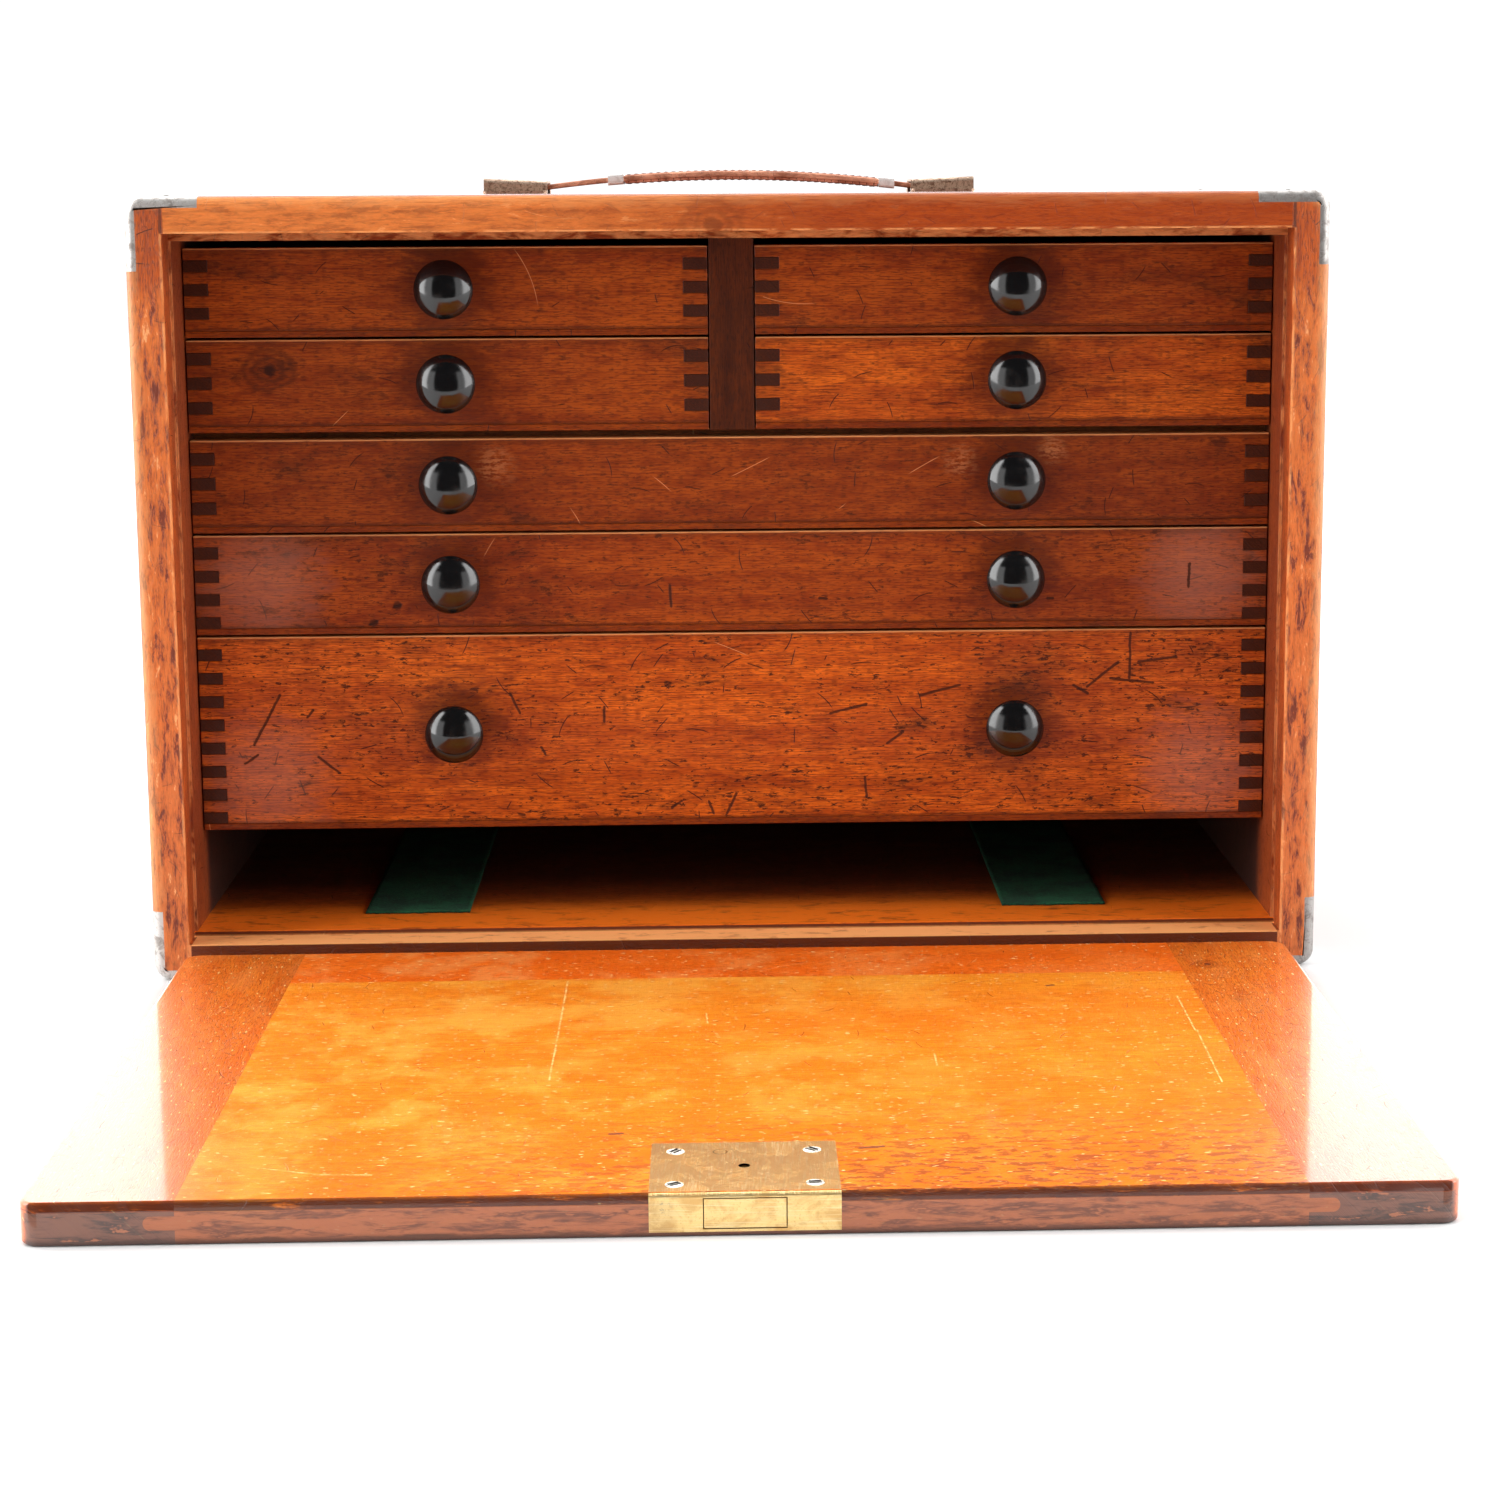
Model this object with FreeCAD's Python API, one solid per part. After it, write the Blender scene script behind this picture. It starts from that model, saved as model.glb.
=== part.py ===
import FreeCAD, Part
import math
import os

from FreeCAD import Vector

# The origin is the middle of the case's underside. +X is to the right, +Y to the back, +Z up.
# The front panel is shown taken down: it lies on the table before the case, inner face up.

# Case, outside
case_width = 457.0
case_height = 304.0
case_depth = 229.0
case_corner = 6.5
case_arris = 3.5

# Case boards, and the rebate round the front opening that takes the panel
side_board = 15.0
top_board = 17.0
bottom_board = 16.5
side_lip = 14.0
top_lip = 14.0
bottom_lip = 14.5
rebate_depth = 14.0
case_finger = 12.7
back_board = 5.0
back_rebate = 7.0

# Rows of drawers from the top, their heights over all, and the slot under the deep drawer,
# which is as high as the rest leaves it
row_1_height = 34.6
row_2_height = 36.2
row_3_height = 36.6
row_4_height = 39.6
split_rows = 2
row_gap = 1.0
row_head_gap = 3.2
shelf_gap = 3.0
slot_height = 36.3
drawer_setback = 34.0
drawer_side_gap = 0.5
drawer_back_gap = 3.0

# Shelf under the small drawers, and the divider that stands on it
shelf_board = 4.0
shelf_housing = 4.0
shelf_front_gap = 0.5
shelf_top_gap = 0.3
divider_board = 17.5
divider_housing = 4.0

# Drawer boards
drawer_front = 12.0
drawer_side = 9.5
drawer_back = 7.0
drawer_bottom = 2.5
drawer_finger = 4.7
drawer_side_drop = 2.0

# Runner strips let into the case sides and the divider
runner_height = 6.0
runner_reach = 4.0
runner_housing = 2.0
runner_setback = 6.0
runner_clearance = 0.3
runner_place_share = 0.45

# Knobs and their screws
knob_diameter = 23.0
knob_projection = 18.5
knob_rim_height = 13.0
knob_rim_band = 1.4
knob_foot_diameter = 14.0
knob_foot_height = 1.2
knob_neck_diameter = 11.0
knob_neck_height = 4.0
knob_bore_depth = 9.0
knob_screw_diameter = 4.0
knob_screw_reach = 8.0
knob_screw_head = 8.0
knob_screw_head_height = 2.2
knob_screw_clearance = 0.1

# Baize strips on the floor of the slot under the deep drawer
baize_width = 42.0
baize_from_wall = 63.5
baize_setback = 37.0
baize_back_gap = 6.0
baize_thickness = 1.2

# Corner brackets of sheet steel, let in flush, and their nails
bracket_leg = 28.0
bracket_sheet = 1.2
bracket_lip = 4.4
nail_diameter = 2.0
nail_length = 9.0
nail_proud = 0.3
nail_from_corner = 14.0

# Front panel, and the room it has in the rebate when it is shut
panel_side_gap = 1.0
panel_head_gap = 1.2
panel_foot_gap = 0.3
panel_seat_gap = 0.3
panel_inset = 0.2
panel_lying_gap = 10.6
panel_batten = 46.0
panel_rail = 42.0
panel_tongue_reach = 9.3
panel_tongue = 4.4
panel_corner = 6.0
panel_arris = 1.2
panel_bevel_height = 2.8
panel_bevel_depth = 1.0

# Cut-in lock in the panel's head
lock_width = 57.0
lock_depth = 45.0
lock_plate = 1.6
lock_box_width = 33.0
lock_box_depth = 36.0
lock_box_height = 10.4
lock_wall = 0.8
bolt_width = 24.4
bolt_length = 20.0
bolt_clearance = 0.3
talon_width = 7.0
talon_depth = 5.0
drill_pin_diameter = 3.3
keyhole_from_edge = 23.5
keyhole_diameter = 5.0
keyhole_slot = 2.2
keyhole_drop = 7.0
escutcheon_diameter = 14.0
lock_screw_across = 42.0
lock_screw_near = 7.7
lock_screw_far = 37.0
lock_screw_head = 5.8
lock_screw_head_height = 1.6
lock_screw_diameter = 3.2
lock_screw_length = 9.0

# Strike plate in the lip above the panel
strike_width = 42.0
strike_margin = 1.2
strike_plate = 1.2
strike_clearance = 0.4
strike_pocket_depth = 7.0
strike_screw_across = 33.6

# Small countersunk screws of the handle's housings and the strike plate
screw_head = 5.0
screw_head_height = 1.2
screw_diameter = 2.5
screw_length = 9.0

# Carrying handle: a leather strap whose ends slide in pressed housings
housing_span = 202.0
housing_length = 26.0
housing_width = 26.0
housing_flange_width = 38.0
housing_flange = 1.2
housing_height = 6.2
housing_mouth_height = 5.0
housing_sheet = 0.8
housing_round = 1.8
housing_mouth_gap = 0.4
housing_stop = 3.0
strap_width = 22.0
strap_rise = 4.8
strap_thickness = 2.3
strap_end_thickness = 2.0
strap_in_housing = 20.0
slide_lift = 0.3
slide_plate = 1.0
slide_length = 13.4
slide_width = 22.4
slide_corner = 1.5
slide_end_gap = 1.3
slide_strap_gap = 0.3
rivet_diameter = 2.4
rivet_head_diameter = 4.4
rivet_head_height = 0.3
rivet_clearance = 0.15
rivet_across = 11.0
keeper_left_from_mouth = 28.2
keeper_right_from_mouth = 10.0
keeper_length = 6.4
keeper_sheet = 1.0
keeper_play = 0.1
keeper_round = 0.9
grip_thickness = 1.2
grip_width = 20.0
grip_end_gap = 0.6

# How far a cutting shape runs past what it cuts
overrun = 2.0

front_face = -case_depth / 2
back_face = case_depth / 2
inner_side = case_width / 2 - side_board
lip_side = case_width / 2 - side_lip
top_underside = case_height - top_board
lip_head = case_height - top_lip
back_inner = back_face - back_board
drawer_face = front_face + drawer_setback
drawer_rear = back_inner - drawer_back_gap
runner_front = drawer_face + drawer_front + runner_setback
upper_rows_height = row_1_height + row_2_height + row_3_height + row_4_height
rows_low = bottom_board + slot_height
row_5_height = top_underside - row_head_gap - rows_low - upper_rows_height - shelf_gap - 3 * row_gap
panel_width = 2 * (lip_side - panel_side_gap)
panel_length = lip_head - bottom_lip - panel_head_gap - panel_foot_gap
panel_thickness = rebate_depth - panel_seat_gap - panel_inset
panel_far = front_face - panel_lying_gap
lock_box_floor = panel_thickness - lock_plate - lock_box_height
bolt_height = lock_box_height - lock_wall - 2 * bolt_clearance
bolt_low = lock_box_floor + lock_wall + bolt_clearance
keyhole_y = panel_far - panel_length + keyhole_from_edge
housing_end = housing_span / 2
housing_mouth = housing_end - housing_length
keeper_left = keeper_left_from_mouth - housing_mouth
keeper_right = housing_mouth - keeper_right_from_mouth
strap_low_end = slide_lift + slide_plate + slide_strap_gap


def block(x, y, z):
    # A box from its low and high corner values on each axis
    return Part.makeBox(x[1] - x[0], y[1] - y[0], z[1] - z[0], Vector(x[0], y[0], z[0]))


def rod(radius, length, start, direction):
    return Part.makeCylinder(radius, length, Vector(*start), Vector(*direction))


def around(middle, width):
    return (middle - width / 2, middle + width / 2)


def cut(shape, tools):
    return shape.cut(Part.makeCompound(tools))


def mirrored_x(shape):
    return shape.mirror(Vector(0, 0, 0), Vector(1, 0, 0))


def one_solid(shape):
    # The single solid of a result, without the wrapping that an operation gives it
    if len(shape.Solids) != 1:
        raise ValueError("expected one solid, found " + str(len(shape.Solids)))
    return shape.Solids[0]


def save(name, solids):
    shape = solids[0] if len(solids) == 1 else Part.makeCompound(solids)
    shape.exportStep("parts/" + name + ".step")
    volume = round(sum(solid.Volume for solid in solids))
    valid = all(solid.isValid() and solid.Volume > 0 for solid in solids)
    print(name, "solids", len(solids), "volume", volume, "valid", valid)


def finger_spans(low, high, nominal, odd):
    # Equal fingers along an edge, each about the nominal width
    count = max(3, round((high - low) / nominal))
    if odd and count % 2 == 0:
        count += 1
    width = (high - low) / count
    return [(low + index * width, low + (index + 1) * width) for index in range(count)]


def rounded_case(inset):
    # The case's outer form, drawn in by the inset: large radii along the depth, small ones at front and back
    body = block((-case_width / 2 + inset, case_width / 2 - inset), (front_face + inset, back_face - inset),
                 (inset, case_height - inset))
    body = body.makeFillet(case_corner - inset, [edge for edge in body.Edges if edge.BoundBox.YLength > case_corner])
    return body.makeFillet(case_arris - inset, [edge for edge in body.Edges if edge.BoundBox.YLength < case_corner])


def row_spans():
    # Low and high Z of each row, from the top row down
    heights = [row_1_height, row_2_height, row_3_height, row_4_height, row_5_height]
    low = rows_low
    found = []
    for index in range(len(heights) - 1, -1, -1):
        found.insert(0, (low, low + heights[index]))
        low += heights[index] + (shelf_gap if index == split_rows else row_gap)
    return found


def drawer_places():
    # Name, X span and Z span of each drawer: two to a row above the shelf, one below it
    wall = inner_side - drawer_side_gap
    middle = divider_board / 2 + drawer_side_gap
    found = []
    for index, span in enumerate(row_spans()):
        row = "drawer_" + str(index + 1)
        if index < split_rows:
            found.append((row + "_left", (-wall, -middle), span))
            found.append((row + "_right", (middle, wall), span))
        else:
            found.append((row, (-wall, wall), span))
    return found


def runner_span(z):
    return around(z[0] + (z[1] - z[0]) * runner_place_share, runner_height)


def runner_strips():
    # One strip on each side of every drawer, housed in the wall that carries it
    found = []
    for name, x, z in drawer_places():
        for wall, way in ((x[0], 1), (x[1], -1)):
            buried = wall - way * (drawer_side_gap + runner_housing)
            reach = wall + way * runner_reach
            found.append(block(sorted((buried, reach)), (runner_front, back_inner), runner_span(z)))
    return found


def shelf_span():
    top = row_spans()[split_rows - 1][0] - shelf_top_gap
    return (top - shelf_board, top)


def shelf_blank():
    reach = inner_side + shelf_housing
    front = drawer_face + drawer_front + shelf_front_gap
    return block((-reach, reach), (front, back_inner), shelf_span())


def divider_blank():
    return block(around(0, divider_board), (drawer_face, back_inner),
                 (shelf_span()[1], top_underside + divider_housing))


def back_panel():
    side = inner_side + back_rebate
    return block((-side, side), (back_inner, back_face), (bottom_board - back_rebate, top_underside + back_rebate))


def corner_bracket(side, end, top):
    # A cap at one corner of the case: top and side plates, and a narrow lip on the front or back
    x = sorted((side * case_width / 2, side * (case_width / 2 - bracket_leg)))
    y = sorted((end * case_depth / 2, end * (case_depth / 2 - bracket_leg)))
    z = (case_height - bracket_leg, case_height) if top else (0, bracket_leg)
    cap = rounded_case(0).common(block(x, y, z)).cut(rounded_case(bracket_sheet))
    window_x = sorted((side * (case_width / 2 - bracket_lip), side * (case_width / 2 - bracket_leg - overrun)))
    window_y = sorted((end * (case_depth / 2 + overrun), end * (case_depth / 2 - bracket_sheet - overrun)))
    if top:
        window_z = (case_height - bracket_leg - overrun, case_height - bracket_lip)
    else:
        window_z = (bracket_lip, bracket_leg + overrun)
    return one_solid(cap.cut(block(window_x, window_y, window_z)))


def nail(at, outward, proud):
    # A headless nail, left a little proud of the bracket, or driven flush on the case's underside
    away = Vector(*outward)
    return Part.makeCylinder(nail_diameter / 2, nail_length + proud, Vector(*at) + away * proud, away * -1)


def bracket_nails():
    # One through each bracket's flat plate and one through its side plate
    found = []
    for side in (-1, 1):
        for end in (-1, 1):
            y = end * (case_depth / 2 - nail_from_corner)
            for level, inward in ((case_height, -1), (0, 1)):
                flat = (side * (case_width / 2 - nail_from_corner), y, level)
                upright = (side * case_width / 2, y, level + inward * nail_from_corner)
                found.append(nail(flat, (0, 0, -inward), 0 if inward > 0 else nail_proud))
                found.append(nail(upright, (side, 0, 0), nail_proud))
    return found


def countersunk(at, into, head, head_height, diameter, length):
    # A screw whose flat head is flush with the face at this point
    way = Vector(*into)
    base = Vector(*at)
    cone = Part.makeCone(head / 2, diameter / 2, head_height, base, way)
    shank = Part.makeCylinder(diameter / 2, length, base, way)
    return one_solid(cone.fuse(shank).removeSplitter())


def small_screw(at, into):
    return countersunk(at, into, screw_head, screw_head_height, screw_diameter, screw_length)


def housing_screws():
    y = (housing_width + housing_flange_width) / 4
    x = housing_end - housing_length / 2
    z = case_height + housing_flange
    return [small_screw((a * x, b * y, z), (0, 0, -1)) for a in (-1, 1) for b in (-1, 1)]


def shut_bolt_span():
    # Y span of the bolt with the panel shut
    low = front_face + panel_inset + bolt_low
    return (low, low + bolt_height)


def strike_slot():
    y = shut_bolt_span()
    return block(around(0, bolt_width + 2 * strike_clearance), (y[0] - strike_clearance, y[1] + strike_clearance),
                 (lip_head - overrun, lip_head + strike_pocket_depth))


def strike_blank():
    y = shut_bolt_span()
    rim = strike_clearance + strike_margin
    return block(around(0, strike_width), (y[0] - rim, y[1] + rim), (lip_head, lip_head + strike_plate))


def strike_screws():
    y = sum(shut_bolt_span()) / 2
    return [small_screw((side * strike_screw_across / 2, y, lip_head), (0, 0, 1)) for side in (-1, 1)]


def build_case():
    fingers = finger_spans(front_face, back_face, case_finger, True)
    side_fingers = fingers[0::2]
    board_fingers = fingers[1::2]
    outside = case_width / 2 + overrun
    form = rounded_case(0)
    opening = block((-lip_side, lip_side), (front_face - overrun, front_face + rebate_depth), (bottom_lip, lip_head))
    back = back_panel()
    shelf = shelf_blank()
    divider = divider_blank()
    runners = runner_strips()
    brackets = [corner_bracket(side, end, top) for side in (-1, 1) for end in (-1, 1) for top in (True, False)]
    nails = bracket_nails()
    in_every_board = [opening, back] + brackets + nails

    side = block((inner_side, case_width / 2), (front_face, back_face), (0, case_height))
    sockets = [block((inner_side - overrun, outside), y, z) for y in board_fingers
               for z in ((-overrun, bottom_board), (top_underside, case_height + overrun))]
    side = cut(side, sockets).common(form)
    for name, shape in (("case_side_right", side), ("case_side_left", mirrored_x(side))):
        save(name, [one_solid(cut(shape, in_every_board + [shelf] + runners))])

    ends = [block(x, y, (-overrun, case_height + overrun)) for y in side_fingers
            for x in ((-outside, -inner_side), (inner_side, outside))]
    whole_width = (-case_width / 2, case_width / 2)
    top = cut(block(whole_width, (front_face, back_face), (top_underside, case_height)), ends).common(form)
    let_in = [divider, strike_slot(), strike_blank()] + strike_screws() + housing_screws()
    save("case_top", [one_solid(cut(top, in_every_board + let_in))])
    bottom = cut(block(whole_width, (front_face, back_face), (0, bottom_board)), ends).common(form)
    save("case_bottom", [one_solid(cut(bottom, in_every_board))])

    save("case_back", [back])
    save("drawer_shelf", [shelf])
    save("centre_divider", [one_solid(cut(divider, runners))])
    save("drawer_runners", runners)
    save("corner_brackets", [one_solid(cut(bracket, nails)) for bracket in brackets])
    save("bracket_nails", nails)
    plate = one_solid(cut(strike_blank(), [strike_slot()] + strike_screws()))
    save("strike_plate", [plate] + strike_screws())


def build_baize():
    strip = block((inner_side - baize_from_wall - baize_width, inner_side - baize_from_wall),
                  (front_face + baize_setback, back_inner - baize_back_gap),
                  (bottom_board, bottom_board + baize_thickness))
    save("baize_strips", [one_solid(mirrored_x(strip)), strip])


def knob_with_screw(x, z):
    # Turned knob: a foot, a flare and a shallow dome, on a screw from inside the drawer
    radius = knob_diameter / 2
    dome = knob_projection - knob_rim_height
    centre = knob_rim_height + (dome * dome - radius * radius) / (2 * dome)
    sphere = knob_projection - centre
    rim_angle = math.atan2(knob_rim_height - centre, radius)
    middle = (rim_angle + math.pi / 2) / 2
    bore = knob_screw_diameter / 2

    def at(r, out):
        return Vector(r, -out, 0)

    corners = [at(0, knob_bore_depth), at(bore, knob_bore_depth), at(bore, 0), at(knob_foot_diameter / 2, 0),
               at(knob_foot_diameter / 2, knob_foot_height), at(knob_neck_diameter / 2, knob_neck_height),
               at(radius, knob_rim_height - knob_rim_band), at(radius, knob_rim_height)]
    half_way = at(sphere * math.cos(middle), centre + sphere * math.sin(middle))
    dome_edge = Part.Arc(corners[-1], half_way, at(0, knob_projection)).toShape()
    lines = [Part.makeLine(start, end) for start, end in zip(corners, corners[1:])]
    axis_edge = Part.makeLine(at(0, knob_projection), corners[0])
    knob = Part.Face(Part.Wire(lines + [dome_edge, axis_edge])).revolve(Vector(0, 0, 0), Vector(0, 1, 0), 360)
    knob.translate(Vector(x, drawer_face, z))
    screw = rod(bore, drawer_front + knob_screw_reach, (x, drawer_face - knob_screw_reach, z), (0, 1, 0))
    head = rod(knob_screw_head / 2, knob_screw_head_height, (x, drawer_face + drawer_front, z), (0, 1, 0))
    return [one_solid(knob), one_solid(screw.fuse(head))]


def build_drawer(name, x, z):
    low = z[0] + drawer_bottom
    rim = z[1] - drawer_side_drop
    fingers = list(reversed(finger_spans(low, z[1], drawer_finger, False)))
    front_fingers = fingers[0::2]
    side_fingers = fingers[1::2]
    front_y = (drawer_face, drawer_face + drawer_front)
    back_y = (drawer_rear - drawer_back, drawer_rear)
    left = (x[0], x[0] + drawer_side)
    right = (x[1] - drawer_side, x[1])
    runner = runner_span(z)
    groove_z = (runner[0] - runner_clearance, runner[1] + runner_clearance)
    groove_y = (runner_front - runner_clearance, drawer_rear + overrun)
    groove = runner_reach + runner_clearance
    grooves = [block((x[0] - overrun, x[0] + groove), groove_y, groove_z),
               block((x[1] - groove, x[1] + overrun), groove_y, groove_z)]

    centre = (low + z[1]) / 2
    column = (inner_side + divider_board / 2) / 2
    knobs = []
    holes = []
    for place in (-column, column):
        if x[0] < place < x[1]:
            knobs += knob_with_screw(place, centre)
            holes.append(rod(knob_screw_diameter / 2 + knob_screw_clearance, drawer_front + 2 * overrun,
                             (place, drawer_face - overrun, centre), (0, 1, 0)))

    def sockets(y):
        # Where the fingers of the two sides pass through the front or the back
        through = (y[0] - overrun, y[1] + overrun)
        return [block(ends, through, span) for span in side_fingers
                for ends in ((left[0] - overrun, left[1]), (right[0], right[1] + overrun))]

    front = cut(block(x, front_y, (low, z[1])), sockets(front_y) + holes)
    back = cut(block(x, back_y, (low, rim)), sockets(back_y) + grooves)
    gaps = [block((x[0] - overrun, x[1] + overrun), y, span) for span in front_fingers
            for y in ((front_y[0] - overrun, front_y[1]), (back_y[0], back_y[1] + overrun))]
    sides = [one_solid(cut(block(wall, (drawer_face, drawer_rear), (low, rim)), gaps + grooves))
             for wall in (left, right)]
    save(name + "_front", [one_solid(front)])
    save(name + "_sides", sides)
    save(name + "_back", [one_solid(back)])
    save(name + "_bottom", [block(x, (drawer_face, drawer_rear), (z[0], low))])
    save(name + "_knobs", knobs)


def panel_block(x, v, z):
    # A box in the lying panel, where v runs from its foot, next to the case, to its head
    return block(x, (panel_far - v[1], panel_far - v[0]), z)


def panel_form():
    # The whole panel's outline, with rounded corners and arrises and a bevel along the head
    body = panel_block(around(0, panel_width), (0, panel_length), (0, panel_thickness))
    upright = [edge for edge in body.Edges if edge.BoundBox.ZLength > panel_thickness / 2]
    body = body.makeFillet(panel_corner, upright)
    rims = [edge for edge in body.Edges if edge.BoundBox.ZLength < panel_thickness / 2]
    body = body.makeFillet(panel_arris, rims)
    head = panel_far - panel_length
    side = panel_width / 2 + overrun
    corners = [Vector(-side, head, panel_thickness - panel_bevel_height),
               Vector(-side, head + panel_bevel_depth, panel_thickness),
               Vector(-side, head, panel_thickness)]
    bevel = Part.Face(Part.makePolygon(corners + corners[:1])).extrude(Vector(2 * side, 0, 0))
    return body.cut(bevel)


def lock_screws():
    found = []
    for side in (-1, 1):
        for inset in (lock_screw_near, lock_screw_far):
            at = (side * lock_screw_across / 2, panel_far - panel_length + inset, panel_thickness)
            found.append(countersunk(at, (0, 0, -1), lock_screw_head, lock_screw_head_height,
                                     lock_screw_diameter, lock_screw_length))
    return found


def keyhole():
    # Round hole and slot, from the panel's outer face up into the lock
    height = lock_box_floor + lock_wall + bolt_clearance
    barrel = rod(keyhole_diameter / 2, height + overrun, (0, keyhole_y, -overrun), (0, 0, 1))
    slot = block(around(0, keyhole_slot), (keyhole_y, keyhole_y + keyhole_drop), (-overrun, height))
    return barrel.fuse(slot)


def lock_hollows():
    # The lock's inside, and the bolt's way out through the edge plate
    head = panel_length
    z = (lock_box_floor + lock_wall, panel_thickness - lock_plate)
    cavity = panel_block(around(0, lock_box_width - 2 * lock_wall),
                         (head - lock_plate - lock_box_depth + lock_wall, head - lock_plate), z)
    slot = panel_block(around(0, bolt_width + 2 * bolt_clearance),
                       (head - lock_plate - overrun, head + overrun), z)
    return [cavity, slot]


def lock_outside():
    # Face plate and edge plate folded from one sheet, with the box under them
    head = panel_length
    top = panel_thickness
    plate = panel_block(around(0, lock_width), (head - lock_depth, head), (top - lock_plate, top))
    edge = panel_block(around(0, lock_width), (head - lock_plate, head), (lock_box_floor, top))
    box = panel_block(around(0, lock_box_width), (head - lock_plate - lock_box_depth, head - lock_plate),
                      (lock_box_floor, top - lock_plate))
    body = plate.fuse([edge, box]).removeSplitter()
    fold = [rim for rim in body.Edges if rim.BoundBox.YMax < panel_far - head + lock_plate / 2
            and rim.BoundBox.ZMin > top - lock_plate / 2]
    return one_solid(body.makeFillet(lock_plate, fold))


def escutcheon():
    return rod(escutcheon_diameter / 2, lock_box_floor, (0, keyhole_y, 0), (0, 0, 1))


def build_panel():
    form = panel_form()
    half = panel_width / 2
    core = half - panel_batten
    tongue_z = around(panel_thickness / 2, panel_tongue)
    nose = panel_tongue / 2
    reach = core + panel_tongue_reach - nose
    lock = lock_outside()
    screws = lock_screws()

    def tongue(v):
        # Tongues of both ends as one piece right through, each with a round nose
        body = panel_block((-reach, reach), v, tongue_z)
        noses = [rod(nose, v[1] - v[0], (side * reach, panel_far - v[1], panel_thickness / 2), (0, 1, 0))
                 for side in (-1, 1)]
        return body.fuse(noses)

    def board(v):
        body = panel_block((-core, core), v, (0, panel_thickness))
        return body.fuse(tongue(v)).removeSplitter().common(form)

    middle = cut(board((panel_rail, panel_length)), [lock, escutcheon()] + lock_hollows() + screws)
    save("panel_board", [one_solid(middle)])
    save("panel_foot_rail", [one_solid(board((0, panel_rail)))])
    batten = panel_block((core, half), (0, panel_length), (0, panel_thickness)).common(form)
    batten = one_solid(batten.cut(tongue((-overrun, panel_length + overrun))))
    save("panel_end_battens", [one_solid(mirrored_x(batten)), batten])

    drill_hole = rod(drill_pin_diameter / 2, panel_thickness, (0, keyhole_y, panel_thickness / 2), (0, 0, 1))
    save("lock_case", [one_solid(cut(lock, lock_hollows() + screws + [keyhole(), drill_hole]))])
    save("lock_screws", screws)
    save("keyhole_escutcheon", [one_solid(escutcheon().cut(keyhole()))])

    z = (bolt_low, bolt_low + bolt_height)
    tail = panel_length - bolt_length
    bolt = panel_block(around(0, bolt_width), (tail, panel_length), z)
    talon = panel_block(around(0, talon_width), (tail, tail + talon_depth), z)
    save("lock_bolt", [one_solid(bolt.cut(talon))])


def handle_point(x, height):
    # A point in the handle's side view, its height measured from the top of the case
    return Vector(x, 0, case_height + height)


def outline(*points):
    return [Part.makeLine(handle_point(*start), handle_point(*end)) for start, end in zip(points, points[1:])]


def strap_curve(x, middle, end):
    # Height at x of the arc that passes the middle height at x = 0 and the end height at the mouths
    rise = middle - end
    radius = (housing_mouth ** 2 + rise ** 2) / (2 * rise)
    return middle - radius + math.sqrt(radius ** 2 - x ** 2)


def strap_low(x):
    return strap_curve(x, strap_low_end + strap_rise, strap_low_end)


def strap_high(x):
    return strap_curve(x, strap_low_end + strap_rise + strap_thickness, strap_low_end + strap_end_thickness)


def curve_edge(height_at, start, end):
    points = [handle_point(x, height_at(x)) for x in (start, (start + end) / 2, end)]
    return Part.Arc(*points).toShape()


def side_profile(edges, width):
    # A solid of even width from edges drawn in the handle's side view
    face = Part.Face(Part.Wire(edges))
    face.translate(Vector(0, -width / 2, 0))
    return face.extrude(Vector(0, width, 0))


def rivet_places():
    x = housing_end - housing_sheet - slide_end_gap - slide_length / 2
    return [(x, side * rivet_across / 2) for side in (-1, 1)]


def build_strap():
    mouth = housing_mouth
    tip = mouth + strap_in_housing
    low = strap_low_end
    high = strap_low_end + strap_end_thickness
    edges = outline((-tip, low), (-mouth, low)) + [curve_edge(strap_low, -mouth, mouth)]
    edges += outline((mouth, low), (tip, low), (tip, high), (mouth, high)) + [curve_edge(strap_high, mouth, -mouth)]
    edges += outline((-mouth, high), (-tip, high), (-tip, low))
    holes = [rod(rivet_diameter / 2 + rivet_clearance, high + overrun, (side * x, y, case_height), (0, 0, 1))
             for side in (-1, 1) for x, y in rivet_places()]
    save("handle_strap", [one_solid(cut(side_profile(edges, strap_width), holes))])

    def grip_low(x):
        return strap_low(x) - grip_thickness

    left = keeper_left + keeper_length / 2 + grip_end_gap
    right = keeper_right - keeper_length / 2 - grip_end_gap
    edges = [curve_edge(strap_low, left, right)] + outline((right, strap_low(right)), (right, grip_low(right)))
    edges += [curve_edge(grip_low, right, left)] + outline((left, grip_low(left)), (left, strap_low(left)))
    save("handle_grip", [one_solid(side_profile(edges, grip_width))])


def keeper(x):
    # A ring of sheet round the strap, lying at the strap's slope
    low = strap_low(x)
    high = strap_high(x)
    inner = block(around(0, 2 * keeper_length), around(0, strap_width + 2 * keeper_play),
                  (low - keeper_play, high + keeper_play))
    wall = keeper_play + keeper_sheet
    outer = block(around(0, keeper_length), around(0, strap_width + 2 * wall), (low - wall, high + wall))
    long_edges = [edge for edge in outer.Edges if edge.BoundBox.XLength > keeper_length / 2]
    ring = outer.makeFillet(keeper_round, long_edges).cut(inner)
    slope = math.degrees(math.atan2(strap_low(x + keeper_length) - strap_low(x - keeper_length), 2 * keeper_length))
    ring.rotate(Vector(0, 0, (low + high) / 2), Vector(0, 1, 0), -slope)
    ring.translate(handle_point(x, 0))
    return one_solid(ring)


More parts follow.
